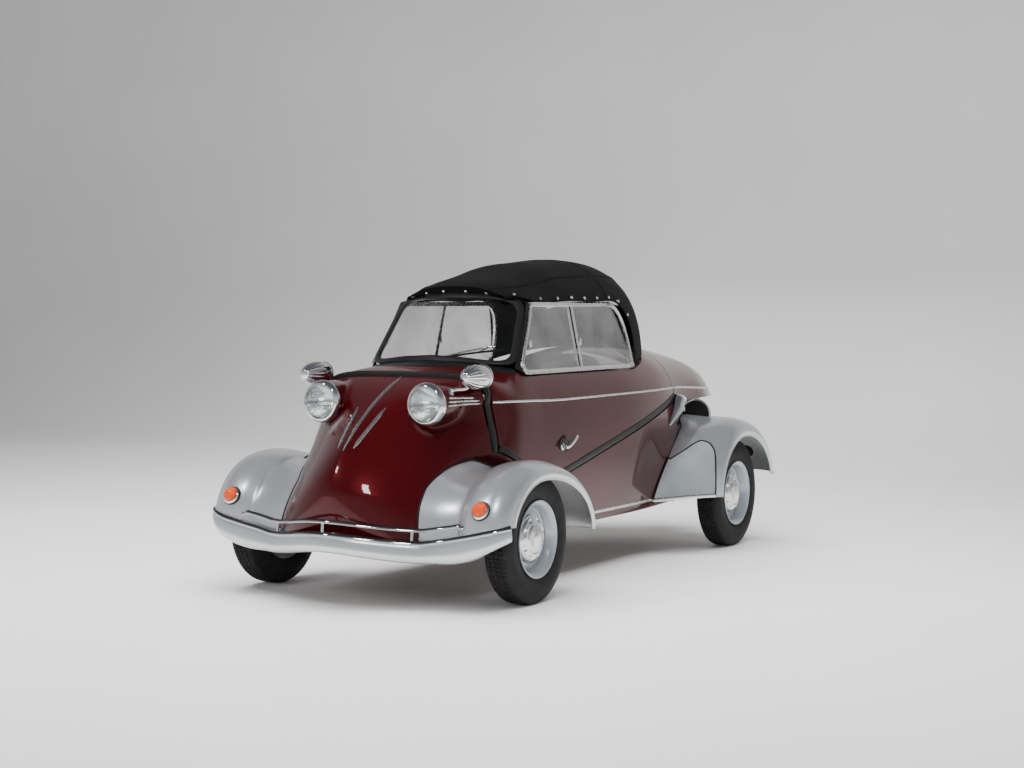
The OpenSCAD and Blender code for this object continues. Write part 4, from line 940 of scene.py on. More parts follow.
def blade_line(x):
    """Front line of the bumper in plan: a prow that follows the nose, level before the fenders, swept back at the ends."""
    u = np.abs(x)
    return np.stack([x, BUMPER_FRONT + 168 * smooth(u / 430) + 64 * (np.maximum(0, u - 540) / 111) ** 2.2, 0 * x], -1)


def blade_at(x, q_in, q_up):
    """A place on the bumper: q_in inwards from its front line, q_up from 0 at its lower edge to 1 at its upper one."""
    d = unit(blade_line(x + 1) - blade_line(x - 1))
    inward = np.stack([-d[..., 1], d[..., 0], 0 * x], -1)
    p = blade_line(x) + inward * (q_in * (1 - 0.5 * (np.abs(x) / BUMPER_HW) ** 8))[..., None]
    p[..., 2] = lerp(blade_low(x), blade_top(x), q_up)
    return p


def bumper_part(cols=201, k=6):
    """The bumper's blade: a rounded profile along its plan, 3 mm thick."""
    profile = spline_rows(np.array([[30, 0], [13, 0.03], [4, 0.16], [0, 0.35], [3, 0.62], [10, 0.86], [20, 0.98], [31, 1]]), k)
    x = np.linspace(-BUMPER_HW + 0.5, BUMPER_HW - 0.5, cols)[:, None]
    grid = blade_at(x + 0 * profile[None, :, 0], profile[None, :, 0] + 0 * x, profile[None, :, 1] + 0 * x)
    n = normals(grid)
    if n[cols // 2, len(profile) // 2, 1] > 0:
        n = -n
    return shell(grid, grid - n * 3)


def rail(path, w, h, up):
    """A half-round moulding w wide and h high along a path."""
    a = np.linspace(0, pi, 9)
    ring = np.concatenate([np.stack([np.cos(a) * w / 2, np.sin(a) * h], 1), [[-w / 2, -h * 0.6], [w / 2, -h * 0.6]]])
    return tube(path, ring, ups=up)


# ---------------------------------------------------------------- wheels
def tyre_parts():
    """Tyre about the X axis: a bulged wall with mould rings, and block tread cut by zigzag grooves."""
    t = TYRE_W / 2
    u = np.linspace(0, 1, 11)
    r0 = RIM_R + 15
    wall = np.stack([lerp(r0, TYRE_R - 9, u), t - 11 * (1 - np.sin(pi * u)) - 2 * u], 1)
    rings = 0.9 * np.exp(-(((u - 0.22) / 0.035) ** 2)) + 0.9 * np.exp(-(((u - 0.62) / 0.03) ** 2))
    wall[:, 1] += rings
    shoulder = [[TYRE_R - 4.5, t - 16], [TYRE_R - 2, t - 21], [TYRE_R - 0.8, t - 27]]
    axial = np.linspace(t - 31, -(t - 31), 34)
    tread = np.stack([np.full_like(axial, TYRE_R), axial], 1)
    low = [[RIM_R, t - 20.3], [RIM_R + 13.5, t - 11.3]]
    half = np.concatenate([low, wall, shoulder])
    profile = np.concatenate([half, tread, half[::-1] * [1, -1], half[:1]])

    def grooves(r, x, th):
        ax = x
        turn = th[None, :] * TYRE_R
        zig = 3.2 * (2 * np.abs(((turn / 26.0) % 1) - 0.5) * 2 - 1)
        rib = np.zeros_like(r)
        for at in (-19.0, 0.0, 19.0):
            rib = np.maximum(rib, np.exp(-(((ax - at - zig) / 2.4) ** 4)))
        lane = np.floor((ax + 38) / 19)
        cut = np.abs((((turn + lane * 9.0 + 0.35 * ax) / 17.0) % 1) - 0.5)
        cross = np.exp(-((cut / 0.15) ** 4)) * (np.abs(ax) < 46)
        deep = np.maximum(rib, cross * 0.85)
        on = smooth((r - (TYRE_R - 8)) / 6)
        return r - 6.0 * deep * on

    return [lathe(profile, (0, 0, 0), (1, 0, 0), sides=348, wobble=grooves)]


def rim_parts():
    """Pressed rim of one profile turned about the axle: flange, bead seat, well and disc, bored for the axle."""
    t = TYRE_W / 2
    pr = np.array([[14.3, -26], [34, -26], [34, 4], [78, 12], [100, 2], [108, -8], [108, -t + 28], [RIM_R - 12, -t + 22],
                   [RIM_R - 2, -t + 18], [RIM_R + 11, -t + 5], [RIM_R + 14, -t + 3], [RIM_R + 13, -t + 11],
                   [RIM_R - 0.3, -t + 20], [RIM_R - 0.3, t - 20], [RIM_R + 12.6, t - 11], [RIM_R + 14, t - 7],
                   [RIM_R + 13.2, t - 4], [RIM_R + 10, t - 3.2], [RIM_R + 5, t - 6], [RIM_R - 4, t - 14], [RIM_R - 8, t - 20],
                   [RIM_R - 10, t - 27], [112, t - 33], [110, t - 42], [106, 11], [100, 15], [92, 17], [86, 14], [80, 12], [40, 8],
                   [34, 12], [14.3, 12], [14.3, -26]], float)
    holes = lathe(pr, (0, 0, 0), (1, 0, 0), sides=144)
    return [holes]


def cap_parts():
    """Hub cap: a domed chrome pressing with eight dark slots round a ribbed centre."""
    r = np.array([0, 8, 20, 34, 44, 50, 53, 56, 60, 66, 72, 78, 82, 85.5, 86, 84, 78])
    x = np.array([50, 49.8, 48.8, 46.4, 43.6, 41.2, 38.5, 36.5, 36.2, 35.6, 33.6, 30.4, 26.5, 21.5, 18, 15.5, 14])
    s = np.linspace(0, len(r) - 1, 48)
    profile = np.stack([np.interp(s, np.arange(len(r)), r), np.interp(s, np.arange(len(r)), x)], 1)
    th = np.arange(160) * 2 * pi / 160
    pr, px = profile[:, :1], profile[:, 1:]
    slot = np.exp(-(((pr - 70) / 6.5) ** 4)) * np.exp(-(((((th * 8 / (2 * pi)) % 1) - 0.5) / 0.2) ** 6))
    ribs = 1.1 * np.cos(th * 36) * np.exp(-(((pr - 38) / 9.0) ** 4))
    depth = px - 5.5 * slot + ribs * 0.6
    rings = np.stack([depth * np.ones_like(th), pr * np.cos(th), pr * np.sin(th)], -1)
    back = np.stack([np.full((1, 160), 13.0), 60 * np.cos(th)[None], 60 * np.sin(th)[None]], -1)
    return [rings_solid(np.concatenate([rings[1:], back]))]


def moved(part, at, flip=False):
    """The part moved to a place; flip turns it to the car's other side first."""
    if flip:
        part = mirrored(part)
    return part[0] + np.asarray(at, float), part[1]


# ---------------------------------------------------------------- cabin
def cushion_part(size, crown, channel_gap, soft=4.2, count=104):
    """A stuffed pad round the origin: rings of a superellipse outline that pulls in between its corners; its top is
    crowned by (1 - rho^2) and sewn into channels, each a rounded groove."""
    w, d, h = size
    a = np.arange(count) * 2 * pi / count
    ox = np.sign(np.cos(a)) * np.abs(np.cos(a)) ** (2 / soft)
    oy = np.sign(np.sin(a)) * np.abs(np.sin(a)) ** (2 / soft)
    pull = 1 - 0.035 * np.cos(2 * a) ** 2
    ox, oy = ox * pull * w / 2, oy * pull * d / 2
    side = np.radians(np.linspace(-80, 80, 15))
    rings = [(1 - 0.132 * (1 - np.cos(s)), h / 2 * np.sin(s) * 0.92) for s in side]
    edge = rings[-1]
    top = [(edge[0] * q / 0.95, edge[1] + (h * 0.08 + crown) * (1 - q**2.6)) for q in np.linspace(0.93, 0.02, 34)]
    every = np.array([(edge[0] * q, -edge[1]) for q in np.linspace(0.05, 0.95, 5)] + rings + top)
    x = every[:, :1] * ox
    y = every[:, :1] * oy
    z = every[:, 1:] + 0 * x
    onto = (np.arange(len(every)) > 5 + len(rings) - 2)[:, None]
    line = np.abs(((x / channel_gap) % 1) - 0.5) * channel_gap
    inner = smooth((1 - np.maximum(np.abs(x) / (w / 2), np.abs(y) / (d / 2))) / 0.16)
    z = z - onto * inner * (9.0 * np.exp(-((line / 5.0) ** 2)))
    return rings_solid(np.stack([x, y, z], -1))


def turned(part, at, angle):
    """The part turned about the X axis, then moved."""
    v, f = part
    c, s = cos(angle), sin(angle)
    return np.stack([v[:, 0], c * v[:, 1] - s * v[:, 2], s * v[:, 1] + c * v[:, 2]], 1) + np.asarray(at, float), f


def welt(size, at, angle, soft=4.2):
    """Piping along the seam of a pad."""
    a = np.arange(160) * 2 * pi / 160
    pull = 1 - 0.035 * np.cos(2 * a) ** 2
    v = np.stack([np.sign(np.cos(a)) * np.abs(np.cos(a)) ** (2 / soft) * pull * size[0] / 2 * 0.985,
                  np.sign(np.sin(a)) * np.abs(np.sin(a)) ** (2 / soft) * pull * size[1] / 2 * 0.985,
                  np.full_like(a, size[2] * 0.36)], 1)
    return turned(tube(v, circle(3.6, 8), closed=True), at, angle)


# ---------------------------------------------------------------- lid
def rear_angle(x, y):
    """Section angle of the skin's point with half width x, near the top of the body."""
    return bisect(lambda a: skin_r(y, a) * np.sin(a) < x, 0, radians(60), np.shape(x))


def hood_base(t):
    """Foot of the soft top behind the windows, at angle t from the left."""
    x = HOOD_A * 0.985 * np.cos(t)
    return x, HOOD_Y0 + 4 + hood_h(np.radians(10.0)) * 1.01 * superell(np.cos(t), HOOD_Q) * cos(radians(10))


def lid_lines(k=4):
    """Inner edge and both outer edges of the lid panel, k times as fine as the frame's own stations."""
    n1, n2, n3 = 10 * k, 22 * k, 10 * k
    c = np.linspace(0, 1, n1 + 1)
    q = screen_pt(c, 0)
    up = unit(screen_pt(c, 0.05) - q)
    front = q - up * (0.6 + 6 * c**4)[:, None] + screen_n(c, 0 * c) * 6
    base_z = WINDOW_LOW_Z - 6.3
    y = np.linspace(SCREEN_LOW[1] + 30, WIN_REAR + 20, n2 + 1)[1:]
    side = np.stack([side_x(y, np.full_like(y, base_z)) - 1, y, np.full_like(y, base_z)], 1)
    t = np.radians(lerp(22, 90, np.linspace(0, 1, n3 + 1)))[1:]
    bx, by = hood_base(t)
    ra = rear_angle(bx, by)
    rear = skin_pt(by, ra)
    inner = np.concatenate([front, side, rear])
    ys = edge_stations(9 * k, 13 * k)[1:]
    e = edge_angle(np.array(LID_Y0), lid_edge_z(np.array(LID_Y0)))
    e2 = edge_angle(np.array(LID_Y1), lid_edge_z(np.array(LID_Y1)))
    left = np.concatenate([skin_pt(np.full_like(c, LID_Y0), c * e), side_pt(ys, lid_edge_z(ys)),
                           skin_pt(np.full(n3, LID_Y1), lerp(e2, 0, np.linspace(0, 1, n3 + 1)[1:]))])
    r = edge_angle(np.array(LID_Y0), LID_RIGHT_Z)
    r2 = edge_angle(np.array(LID_Y1), LID_RIGHT_Z)
    right = np.concatenate([skin_pt(np.full_like(c, LID_Y0), -c * r), side_pt(ys, np.full_like(ys, LID_RIGHT_Z), -1),
                            skin_pt(np.full(n3, LID_Y1), -lerp(r2, 0, np.linspace(0, 1, n3 + 1)[1:]))])
    return inner, left, right


def lid_part(cols=20, top=0.0, under=-14.0):
    """The lid panel: columns from its inner edge to its outer one, that follow the skin and rise to meet the screen."""
    inner, left, right = lid_lines()
    p = np.concatenate([inner, inner[-2:0:-1] * [-1, 1, 1]])
    q = np.concatenate([left, right[-2:0:-1]])
    t = np.linspace(0, 1, cols)[:, None]
    return shell(lid_rows(p, q, t, top), lid_rows(p, q, t, under), close_v=True)


def d_profile(w, h, k=13):
    """Section of a rubber band w wide: flat below, a flattened arc h high above."""
    a = np.linspace(0, pi, k)
    return np.concatenate([np.stack([np.cos(a) * w / 2, np.sin(a) ** 0.7 * h], 1), [[-w / 2, -8], [w / 2, -8]]])


def seal_parts():
    """Rubber band along the front and the left lower edge of the lid: a round roll over the cowl, flat on the flanks."""
    y = LID_Y0 - SEAL_W / 2
    a0 = edge_angle(np.array(y), HINGE_Z + 12.0)
    a1 = edge_angle(np.array(y), lid_edge_z(np.array(LID_Y0)) - SEAL_W)
    a = np.linspace(-a0, a1, 150)
    front = skin_pt(np.full_like(a, y), a)
    ups = np.stack([np.sin(a), 0 * a, np.cos(a)], 1)
    high = lerp(3.4, 12.5, smooth((front[:, 2] - 725) / 60))
    band = d_profile(1, 1)[None] * np.stack([np.full_like(high, SEAL_W - 1), high], 1)[:, None]
    band[:, -2:, 1] = -8
    ys = edge_stations(40, 90)
    side = side_pt(ys, lid_edge_z(ys) - SEAL_W / 2)
    return [tube(front, band, ups=ups), tube(side, d_profile(SEAL_W - 1, 3.4), up=(1, 0, 0))]


def lid_rows(p, q, t, out):
    """Points on the lid panel: t runs from its inner edge p to its outer edge q, out is the height above it."""
    a0, a1 = np.arctan2(p[:, 0], p[:, 2] - AXIS_Z), np.arctan2(q[:, 0], q[:, 2] - AXIS_Z)
    lift = np.hypot(p[:, 0], p[:, 2] - AXIS_Z) - skin_r(p[:, 1], a0)
    y, a = lerp(p[:, 1], q[:, 1], t), lerp(a0, a1, t)
    r = skin_r(y, a) + lift * (1 - t) ** 2 + out
    return np.stack([r * np.sin(a), y, AXIS_Z + r * np.cos(a)], -1)


def apron_part(n=40):
    """Rubber apron on the cowl under the windscreen, 88 mm long in the middle and 30 mm at the corners."""
    inner, left, right = lid_lines()
    p = np.concatenate([(inner[1 : n + 1] * [-1, 1, 1])[::-1], inner[: n + 1]])
    q = np.concatenate([right[1 : n + 1][::-1], left[: n + 1]])
    c = np.linspace(-1, 1, 2 * n + 1)
    reach = (88 - 58 * c**2) / np.linalg.norm(q - p, axis=1)
    t = np.linspace(0, 1, 10)[:, None] * reach
    thick = np.array([4.5, 4.5, 4.5, 4.5, 4.5, 4.5, 4.5, 4.5, 3.6, 1.4])[:, None]
    return shell(lid_rows(p, q, t, thick), lid_rows(p, q, t, -1.0))


def pillar_part():
    """Rubber filler between the windscreen's rubber and the side window's frame."""
    s = np.linspace(0.0, 1.0, 24)
    a = screen_pt(1.012 + 0 * s, s) + screen_n(1.0 + 0 * s, s) * 3
    z = lerp(WINDOW_LOW_Z + 4, WINDOW_TOP_Z - 3, s)
    b = on_window(np.stack([lerp(WIN_FRONT, WIN_FRONT_TOP, s) + 7, z], 1), 3.5)
    w = np.linspace(0, 1, 7)[:, None, None]
    grid = lerp(a[None], b[None], w) + 4 * np.sin(pi * w) * [0.75, -0.66, 0]
    return shell(grid, grid - np.array([0.75, -0.66, 0]) * 5)


def flank_x(y, z):
    """Half width over the nose and the headlight pod, rounded where they meet by a smooth maximum of 10 mm."""
    t = np.clip((y - LAMP[1]) / (POD_END_Y - LAMP[1]), 0, 1)
    r = POD_R * superell(t, 2.2)
    pod = LAMP[0] + 24 * t + np.sqrt(np.maximum(0, r**2 - (z - LAMP[2] - 8 * t) ** 2))
    nose = side_x(y, z)
    return 10 * np.logaddexp(nose / 10, pod / 10)


def body_strip(y, z, s, w=9.0, h=2.6, taper=True, skin=side_x):
    """A half-round bright strip on the body's side through (y, z)."""
    p = np.stack([s * (skin(y, z) + 0.2), y, z], 1)
    e = 2.0
    n = unit(np.stack([np.full_like(y, 2 * e), skin(y - e, z) - skin(y + e, z), skin(y, z - e) - skin(y, z + e)], 1)) * [s, 1, 1]
    t = np.linspace(0, 1, len(y))
    k = 0.25 + 0.75 * np.minimum(1, 14 * np.minimum(t, 1 - t)) if taper else np.ones_like(t)
    a = np.arange(12) * 2 * pi / 12
    ring = np.stack([np.cos(a), np.sin(a)], 1)[None] * np.stack([k * w / 2, k * h], 1)[:, None]
    return tube(p, ring, ups=n)


# ---------------------------------------------------------------- operators
class BodySettings(PropertyGroup):
    """Sizes of the fittings on the shell."""

    strip_width: FloatProperty(name="Strip width", description="Width of the bright body strips", default=0.009, min=0.004, max=0.02, subtype="DISTANCE", unit="LENGTH")
    spear_width: FloatProperty(name="Spear width", description="Width of the strips on the nose", default=0.015, min=0.004, max=0.02, subtype="DISTANCE", unit="LENGTH")
    hood_thickness: FloatProperty(name="Hood cloth thickness", description="Thickness of the soft top's cloth", default=0.003, min=0.001, max=0.006, subtype="DISTANCE", unit="LENGTH")
    stud_count: IntProperty(name="Hood studs", description="Press studs along each side of the soft top", default=9, min=4, max=30)


class CabinSettings(PropertyGroup):
    """Shape of the seats."""

    crown: FloatProperty(name="Seat crown", description="Height of the middle of a seat pad above its edge", default=0.022, min=0.0, max=0.05, subtype="DISTANCE", unit="LENGTH")
    channel: FloatProperty(name="Channel spacing", description="Distance between the sewn channels", default=0.068, min=0.03, max=0.15, subtype="DISTANCE", unit="LENGTH")


class StageSettings(PropertyGroup):
    """Floor, light and camera."""

    floor: FloatProperty(name="Floor size", description="Side of the studio floor", default=30.0, min=8.0, max=60.0, subtype="DISTANCE", unit="LENGTH")
    key_power: FloatProperty(name="Key light", description="Power of the overhead softbox", default=640.0, min=0.0, max=2000.0, subtype="POWER")
    camera_place: FloatVectorProperty(name="Camera", description="Where the camera stands", default=(3.9094, -6.9987, 1.0935), size=3, subtype="XYZ_LENGTH")
    lens: FloatProperty(name="Lens", description="Focal length of the camera", default=67.66, min=20.0, max=200.0, subtype="DISTANCE_CAMERA")


class BUBBLECAR_OT_nose(Operator):
    """Nose shell with the two headlight pods grown out of it"""

    bl_idname = "bubble_car.nose"
    bl_label = "Nose"

    def execute(self, context):
        piece("nose", [nose_part(112, 256)], "body", "burgundy", ["nose_shell"])
        pod = pod_part()
        piece("headlight_pod_shells", [pod, mirrored(pod)], "body", "burgundy", ["headlight_pods"])
        return {"FINISHED"}


class BUBBLECAR_OT_tub(Operator):
    """Tub and tail of the shell, with the bright sill strips"""

    bl_idname = "bubble_car.tub"
    bl_label = "Tub and tail"

    def execute(self, context):
        piece("tub_shell", [tub_part()], "body", "burgundy", ["tub"])
        piece("tail", [tail_part()], "body", "burgundy", ["tail_shell"])
        y = np.linspace(-640, 560, 90)
        z = np.full_like(y, SILL_Z + 38)
        w = context.scene.bubble_body.strip_width / MM
        piece("sill_strips", [body_strip(y, z, s, w + 4, 3) for s in (1, -1)], "body", "aluminium")
        return {"FINISHED"}


class BUBBLECAR_OT_cover(Operator):
    """Engine cover with its air mouths and latch"""

    bl_idname = "bubble_car.cover"
    bl_label = "Engine cover"

    def execute(self, context):
        piece("engine_lid", cover_parts(), "engine_cover", "burgundy", ["engine_cover"])
        # Air scoops: bells that grow out of the tail's flanks and face forwards, each with a bright lip and a black
        # disc across its mouth, painted shade that stands for the dark open intake.
        t = np.linspace(0, 1, 25)
        run = np.stack([lerp(376, 262, t**1.6), lerp(872, 1010, t), lerp(580, 574, t)], 1)
        size = lerp(66, 46, smooth(t))
        bell = tube(run, circle(1, 64)[None] * size[:, None, None], up=(0, 0, 1))
        face = unit(run[0] - run[1])
        lip = lathe([[61, -4], [67, -4], [69.5, 0], [68, 4], [64.5, 5.5], [61.5, 3], [61, -4]], run[0], face, 72)
        # Painted shade: a thin black rubber disc closes the scoop's mouth where the open intake shows dark.
        bowl = lathe([[0, 1], [30, 1.2], [61.5, 1.5], [61.5, -2], [0, -2]], run[0], face, 64)
        piece("air_scoop_bells", [bell, mirrored(bell)], "body", "burgundy")
        piece("air_scoop_lips", [lip, mirrored(lip)], "body", "chrome")
        piece("air_scoop_painted_shade_discs", [bowl, mirrored(bowl)], "body", "rubber")
        # Cover fastenings: a bright cone that lies on each flank with its tip down, its collar, and a small lever behind.
        t = np.linspace(0, 1, 30)
        y, z = lerp(566, 703, t), lerp(546, 650, t)
        path = np.stack([side_x(y, z) - tail_in(y) + 12 * t, y, z], 1)
        size = 31 * np.minimum(1, 0.12 + 1.25 * t**0.8)
        cone = tube(path, circle(1, 40)[None] * size[:, None, None], up=(1, 0, 0))
        collar = lathe([[27, -3], [32, -4], [35, -1], [34, 3], [30, 5], [27, -3]], path[-1], path[-1] - path[-2], 48)
        y, z = lerp(735, 722, t), lerp(598, 655, t)
        lever = tube(np.stack([side_x(y, z) - tail_in(y) + 22, y, z], 1), circle(1, 16)[None] * (np.array([[10, 5]]) * (1 - (2 * t[:, None] - 1) ** 4 * 0.7))[:, None], up=(1, 0, 0))
        parts = [cone, collar, lever]
        piece("cover_latches", parts + [mirrored(q) for q in parts], "body", "chrome")
        return {"FINISHED"}


class BUBBLECAR_OT_lid(Operator):
    """Lid panel, its inner trim, its rubber band, the apron under the windscreen and the pillar fillers"""

    bl_idname = "bubble_car.lid"
    bl_label = "Lid"

    def execute(self, context):
        piece("lid_shell", [lid_part()], "lid", "burgundy", ["lid_panel"])
        piece("lid_inner_trim", [lid_part(12, -14.2, -16.0)], "lid", "crackle")
        piece("lid_rubber", seal_parts(), "lid", "rubber", ["lid_seal"])
        pillar = pillar_part()
        piece("screen_apron", [apron_part(), pillar, mirrored(pillar)], "lid", "rubber")
        return {"FINISHED"}


class BUBBLECAR_OT_windscreen(Operator):
    """Curved windscreen in its rubber, with a bright insert and the wiper"""

    bl_idname = "bubble_car.windscreen"
    bl_label = "Windscreen"

    def execute(self, context):
        a = np.arange(28) * 2 * pi / 28
        band = np.stack([7 - np.sign(np.cos(a)) * np.abs(np.cos(a)) ** 0.5 * 15, np.sign(np.sin(a)) * np.abs(np.sin(a)) ** 0.6 * 7.6], 1)
        piece("windscreen_rubber", [screen_hoop(band)], "lid", "rubber", ["windscreen_frame"])
        a = np.arange(14) * 2 * pi / 14
        piece("windscreen_insert", [screen_hoop(np.stack([5 + 4.5 * np.cos(a), 7.0 + 2.4 * np.sin(a)], 1))], "lid", "chrome")
        piece("windscreen", [screen_sheet(5)], "lid", "glass", ["windscreen_glass"])
        t = np.linspace(0, 1, 24)
        c, v = lerp(-0.12, 0.75, t), lerp(0.0, 0.3, t)
        n = screen_n(c, v)
        arm = screen_pt(c, v) + n * (17 - 3 * t)[:, None]
        hub = lathe([[0, -14], [15, -14], [15, 2], [12, 7], [6, 9], [0, 9.4]], arm[0], n[0], 32)
        root = arm[0] + lerp(-0.06, 0.16, t)[:, None] * (arm[-1] - arm[0]) + n[0] * 3
        grip = np.stack([lerp(9, 5, t), lerp(7, 4, t)], 1)
        blade_c, blade_v = lerp(0.08, 0.86, t), lerp(0.035, 0.25, t)
        bn = screen_n(blade_c, blade_v)
        blade = screen_pt(blade_c, blade_v)
        bars = [tube(arm, circle(3.4, 10)), hub, tube(root, circle(1, 14)[None] * grip[:, None], ups=np.repeat(n[:1], 24, 0)), tube(blade + bn * 9.5, circle(3.2, 8)),
                tube(np.stack([arm[-3], blade[14] + bn[14] * 10]), circle(2.8, 8))]
        piece("wiper_arm", bars, "lid", "chrome", ["wiper"])
        piece("wiper_blade", [tube(blade + bn * 5.4, [[-1.4, -2.6], [1.4, -2.6], [3, 3], [-3, 3]], ups=bn)], "lid", "rubber")
        return {"FINISHED"}


class BUBBLECAR_OT_side_windows(Operator):
    """Aluminium side frames with two panes each, a divider and finger pulls"""

    bl_idname = "bubble_car.side_windows"
    bl_label = "Side windows"

    def execute(self, context):
        frame_part = window_hoop([(0, -6), (0, 5), (1.5, 7), (6, 7.5), (8, 5.5), (12, 5), (15, 6.2), (18, 4), (18, -6)])
        bars = [pane_bar(-168, 3.5, 15, 5), pane_bar(-186, -3.5, 15, 5)]
        both = [frame_part, *bars]
        piece("window_frames", both + [mirrored(p) for p in both], "lid", "aluminium", ["side_window_frames"])
        panes = [window_pane(15, 3.2, 3, -166), window_pane(15, -3.2, 3, -2000, -184)]
        piece("window_panes", panes + [mirrored(p) for p in panes], "lid", "acrylic", ["side_window_glass"])
        pulls = []
        for y in (-150, -560):
            z = WINDOW_LOW_Z + 118
            at = on_window(np.array([y, z]), 5.5)
            a = np.arange(20) * 2 * pi / 20
            rings = np.stack([at + np.stack([np.full(20, o), 7 * k * np.cos(a), 16 * k * np.sin(a)], 1) for o, k in ((0, 1), (3, 1), (5, 0.8), (5.6, 0.4))])
            pulls.append(rings_solid(rings))
        piece("window_pulls", pulls + [mirrored(p) for p in pulls], "lid", "aluminium")
        return {"FINISHED"}


class BUBBLECAR_OT_soft_top(Operator):
    """Soft top as one sheet with its seams, welts, press studs and rear window"""

    bl_idname = "bubble_car.soft_top"
    bl_label = "Soft top"

    def execute(self, context):
        s = context.scene.bubble_body
        thick = s.hood_thickness / MM
        grid = hood_grid(0.0, edge_drop=3.0)
        m, n = grid.shape[:2]
        r0, r1 = VALANCE + 120, VALANCE + 142
        i, j = np.arange(m - 1)[:, None], np.arange(n - 1)[None]
        hole = (i >= r0) & (i < r1) & (j >= 34) & (j < n - 1 - 34)
        u = np.concatenate([[0], np.cumsum(np.linalg.norm(np.diff(grid[:, n // 2], axis=0), axis=1))])[:, None] + 0 * grid[..., 0]
        w = np.concatenate([[0], np.cumsum(np.linalg.norm(np.diff(grid[60], axis=0), axis=1))])[None] + 0 * grid[..., 0]
        uv = np.stack([w, u], -1).reshape(-1, 2) * MM
        cloth = piece("soft_top_cloth", [shell(grid, hood_grid(thick, edge_drop=3.0), keep=~hole)], "lid", "cloth", ["soft_top"], uv=np.concatenate([uv, uv]))
        nrm = normals(grid)
        nrm = nrm if nrm[40, n // 2, 2] > 0 else -nrm
        # Seams: two over the roof where its three panels join, and one over the last bow.
        tape = [[-7, -1], [7, -1], [6, 1.1], [-6, 1.1]]
        long = slice(VALANCE + 1, VALANCE + 104)
        seams = [tube(grid[long, col] + nrm[long, col] * 0.8, tape, ups=nrm[long, col]) for col in (22, n - 23)]
        back = VALANCE + 88
        seams.append(tube(grid[back, 2:-2] + nrm[back, 2:-2] * 0.8, tape, ups=nrm[back, 2:-2]))
        # Piping: along the front hem and down both side edges.
        seams += [tube(grid[0, 1:-1] + nrm[1, 1:-1] * 0.5, circle(3.0, 10))]
        seams += [tube(grid[:, col], circle(3.2, 10)) for col in (0, n - 1)]
        piece("soft_top_seams", seams, "lid", "cloth")
        # The rear window's rubber follows the edge of its opening.
        loop = np.concatenate([grid[r0, 34 : n - 34], grid[r0 + 1 : r1, n - 35], grid[r1, 34 : n - 34][::-1], grid[r0 + 1 : r1, 34][::-1]])
        piece("rear_window_rubber", [tube(loop, circle(5.5, 10), closed=True, up=(0, 0.6, 0.8))], "lid", "rubber")
        panes = [hood_grid(d, edge_drop=3.0)[r0 : r1 + 1, 34 : n - 34] for d in (1.0, 3.0)]
        piece("rear_window_pane", [shell(*panes)], "lid", "acrylic", ["rear_window"])
        # Press studs about 110 mm apart, on the side edges and on the front turn.
        stud = [[0, 4.2], [3.8, 3.8], [6.2, 2.2], [6.8, 0], [6.8, -2], [0, -2]]
        places = [(VALANCE + 5 + 14 * k, col, 6.0) for k in range(s.stud_count) for col in (1, n - 2)]
        places += [(2, int(k), 0.0) for k in np.linspace(9, n - 10, 6)]
        studs = [lathe(stud, grid[k, col] + nrm[k, col] * 1.5 + [0, 0, up], nrm[k, col], 20) for k, col, up in places]
        piece("soft_top_studs", studs, "lid", "chrome")
        return {"FINISHED"}


class BUBBLECAR_OT_fenders(Operator):
    """Four pressed fenders with wired edges and piping"""

    bl_idname = "bubble_car.fenders"
    bl_label = "Fenders"

    def execute(self, context):
        for name, grid in (("front", front_fender_grid(5, 150)), ("rear", rear_fender_grid(5, 150))):
            parts, _ = fender_parts(grid)
            piece(f"{name}_fender_left_panel", parts, "body", "silver", [f"{name}_fender_left"])
            piece(f"{name}_fender_right_panel", [mirrored(p) for p in parts], "body", "silver", [f"{name}_fender_right"])
            web = grid[-1] + [2.5, 0, 0]
            piping = tube(web[2:-2], circle(3.6, 8), up=(1, 0, 0))
            piece(f"{name}_fender_piping", [piping, mirrored(piping)], "body", "rubber")
        guard, bead, strip = guard_parts(rear_fender_grid(5, 150))
        piece("stone_guards", [guard, mirrored(guard)], "body", "guard")
        piece("stone_guard_beads", [bead, mirrored(bead)], "body", "rubber")
        piece("stone_guard_strips", [strip, mirrored(strip)], "body", "aluminium")
        return {"FINISHED"}


class BUBBLECAR_OT_bumper(Operator):
    """Wrap-round bumper with its bright and black strips"""

    bl_idname = "bubble_car.bumper"
    bl_label = "Bumper"

    def execute(self, context):
        piece("bumper_blade", [bumper_part()], "body", "silver", ["front_bumper"])
        x = np.linspace(-BUMPER_HW + 2, BUMPER_HW - 2, 300)
        edge = blade_at(x, 15.0, 0.97) + [0, 0, 2.5]
        across = unit(edge - blade_at(x, 6.0, 0.9))
        ups = unit(np.cross(across, np.gradient(edge, axis=0)))
        ups = ups * np.sign(ups[:, 2:])
        piece("bumper_strip", [tube(edge, circle(1, 12) * [11, 4.2], ups=ups)], "body", "chrome")
        piece("bumper_strip_insert", [tube(edge + ups * 3.6, circle(1, 8) * [5.0, 1.8], ups=ups)], "body", "rubber")
        x = np.linspace(-480, 480, 200)
        path = blade_at(x, 22.0, 1.0) + [0, 6, 43]
        path[:, 2] -= 12 * smooth((np.abs(x) - 452) / 28)
        piece("upper_rail", [tube(path, circle(1, 12) * [10, 5.5], up=(0, -0.5, 0.86))], "body", "chrome")
        piece("upper_rail_insert", [tube(path[4:-4] + [0, -2.4, 4.4], circle(1, 8) * [4.6, 1.8], up=(0, -0.5, 0.86))], "body", "rubber")
        stays = []
        for x0 in (-300.0, 0.0, 300.0):
            low = blade_at(np.array([x0]), 24.0, 0.99)[0]
            stays += [tube(np.stack([low, low + [0, 5, 40]]), circle(6, 12)), lathe([[0, -3], [11, -3], [11, 3], [0, 3]], low + [0, 0, 3], (0, 0, 1), 24)]
        piece("upper_rail_stays", stays, "body", "chrome")
        return {"FINISHED"}


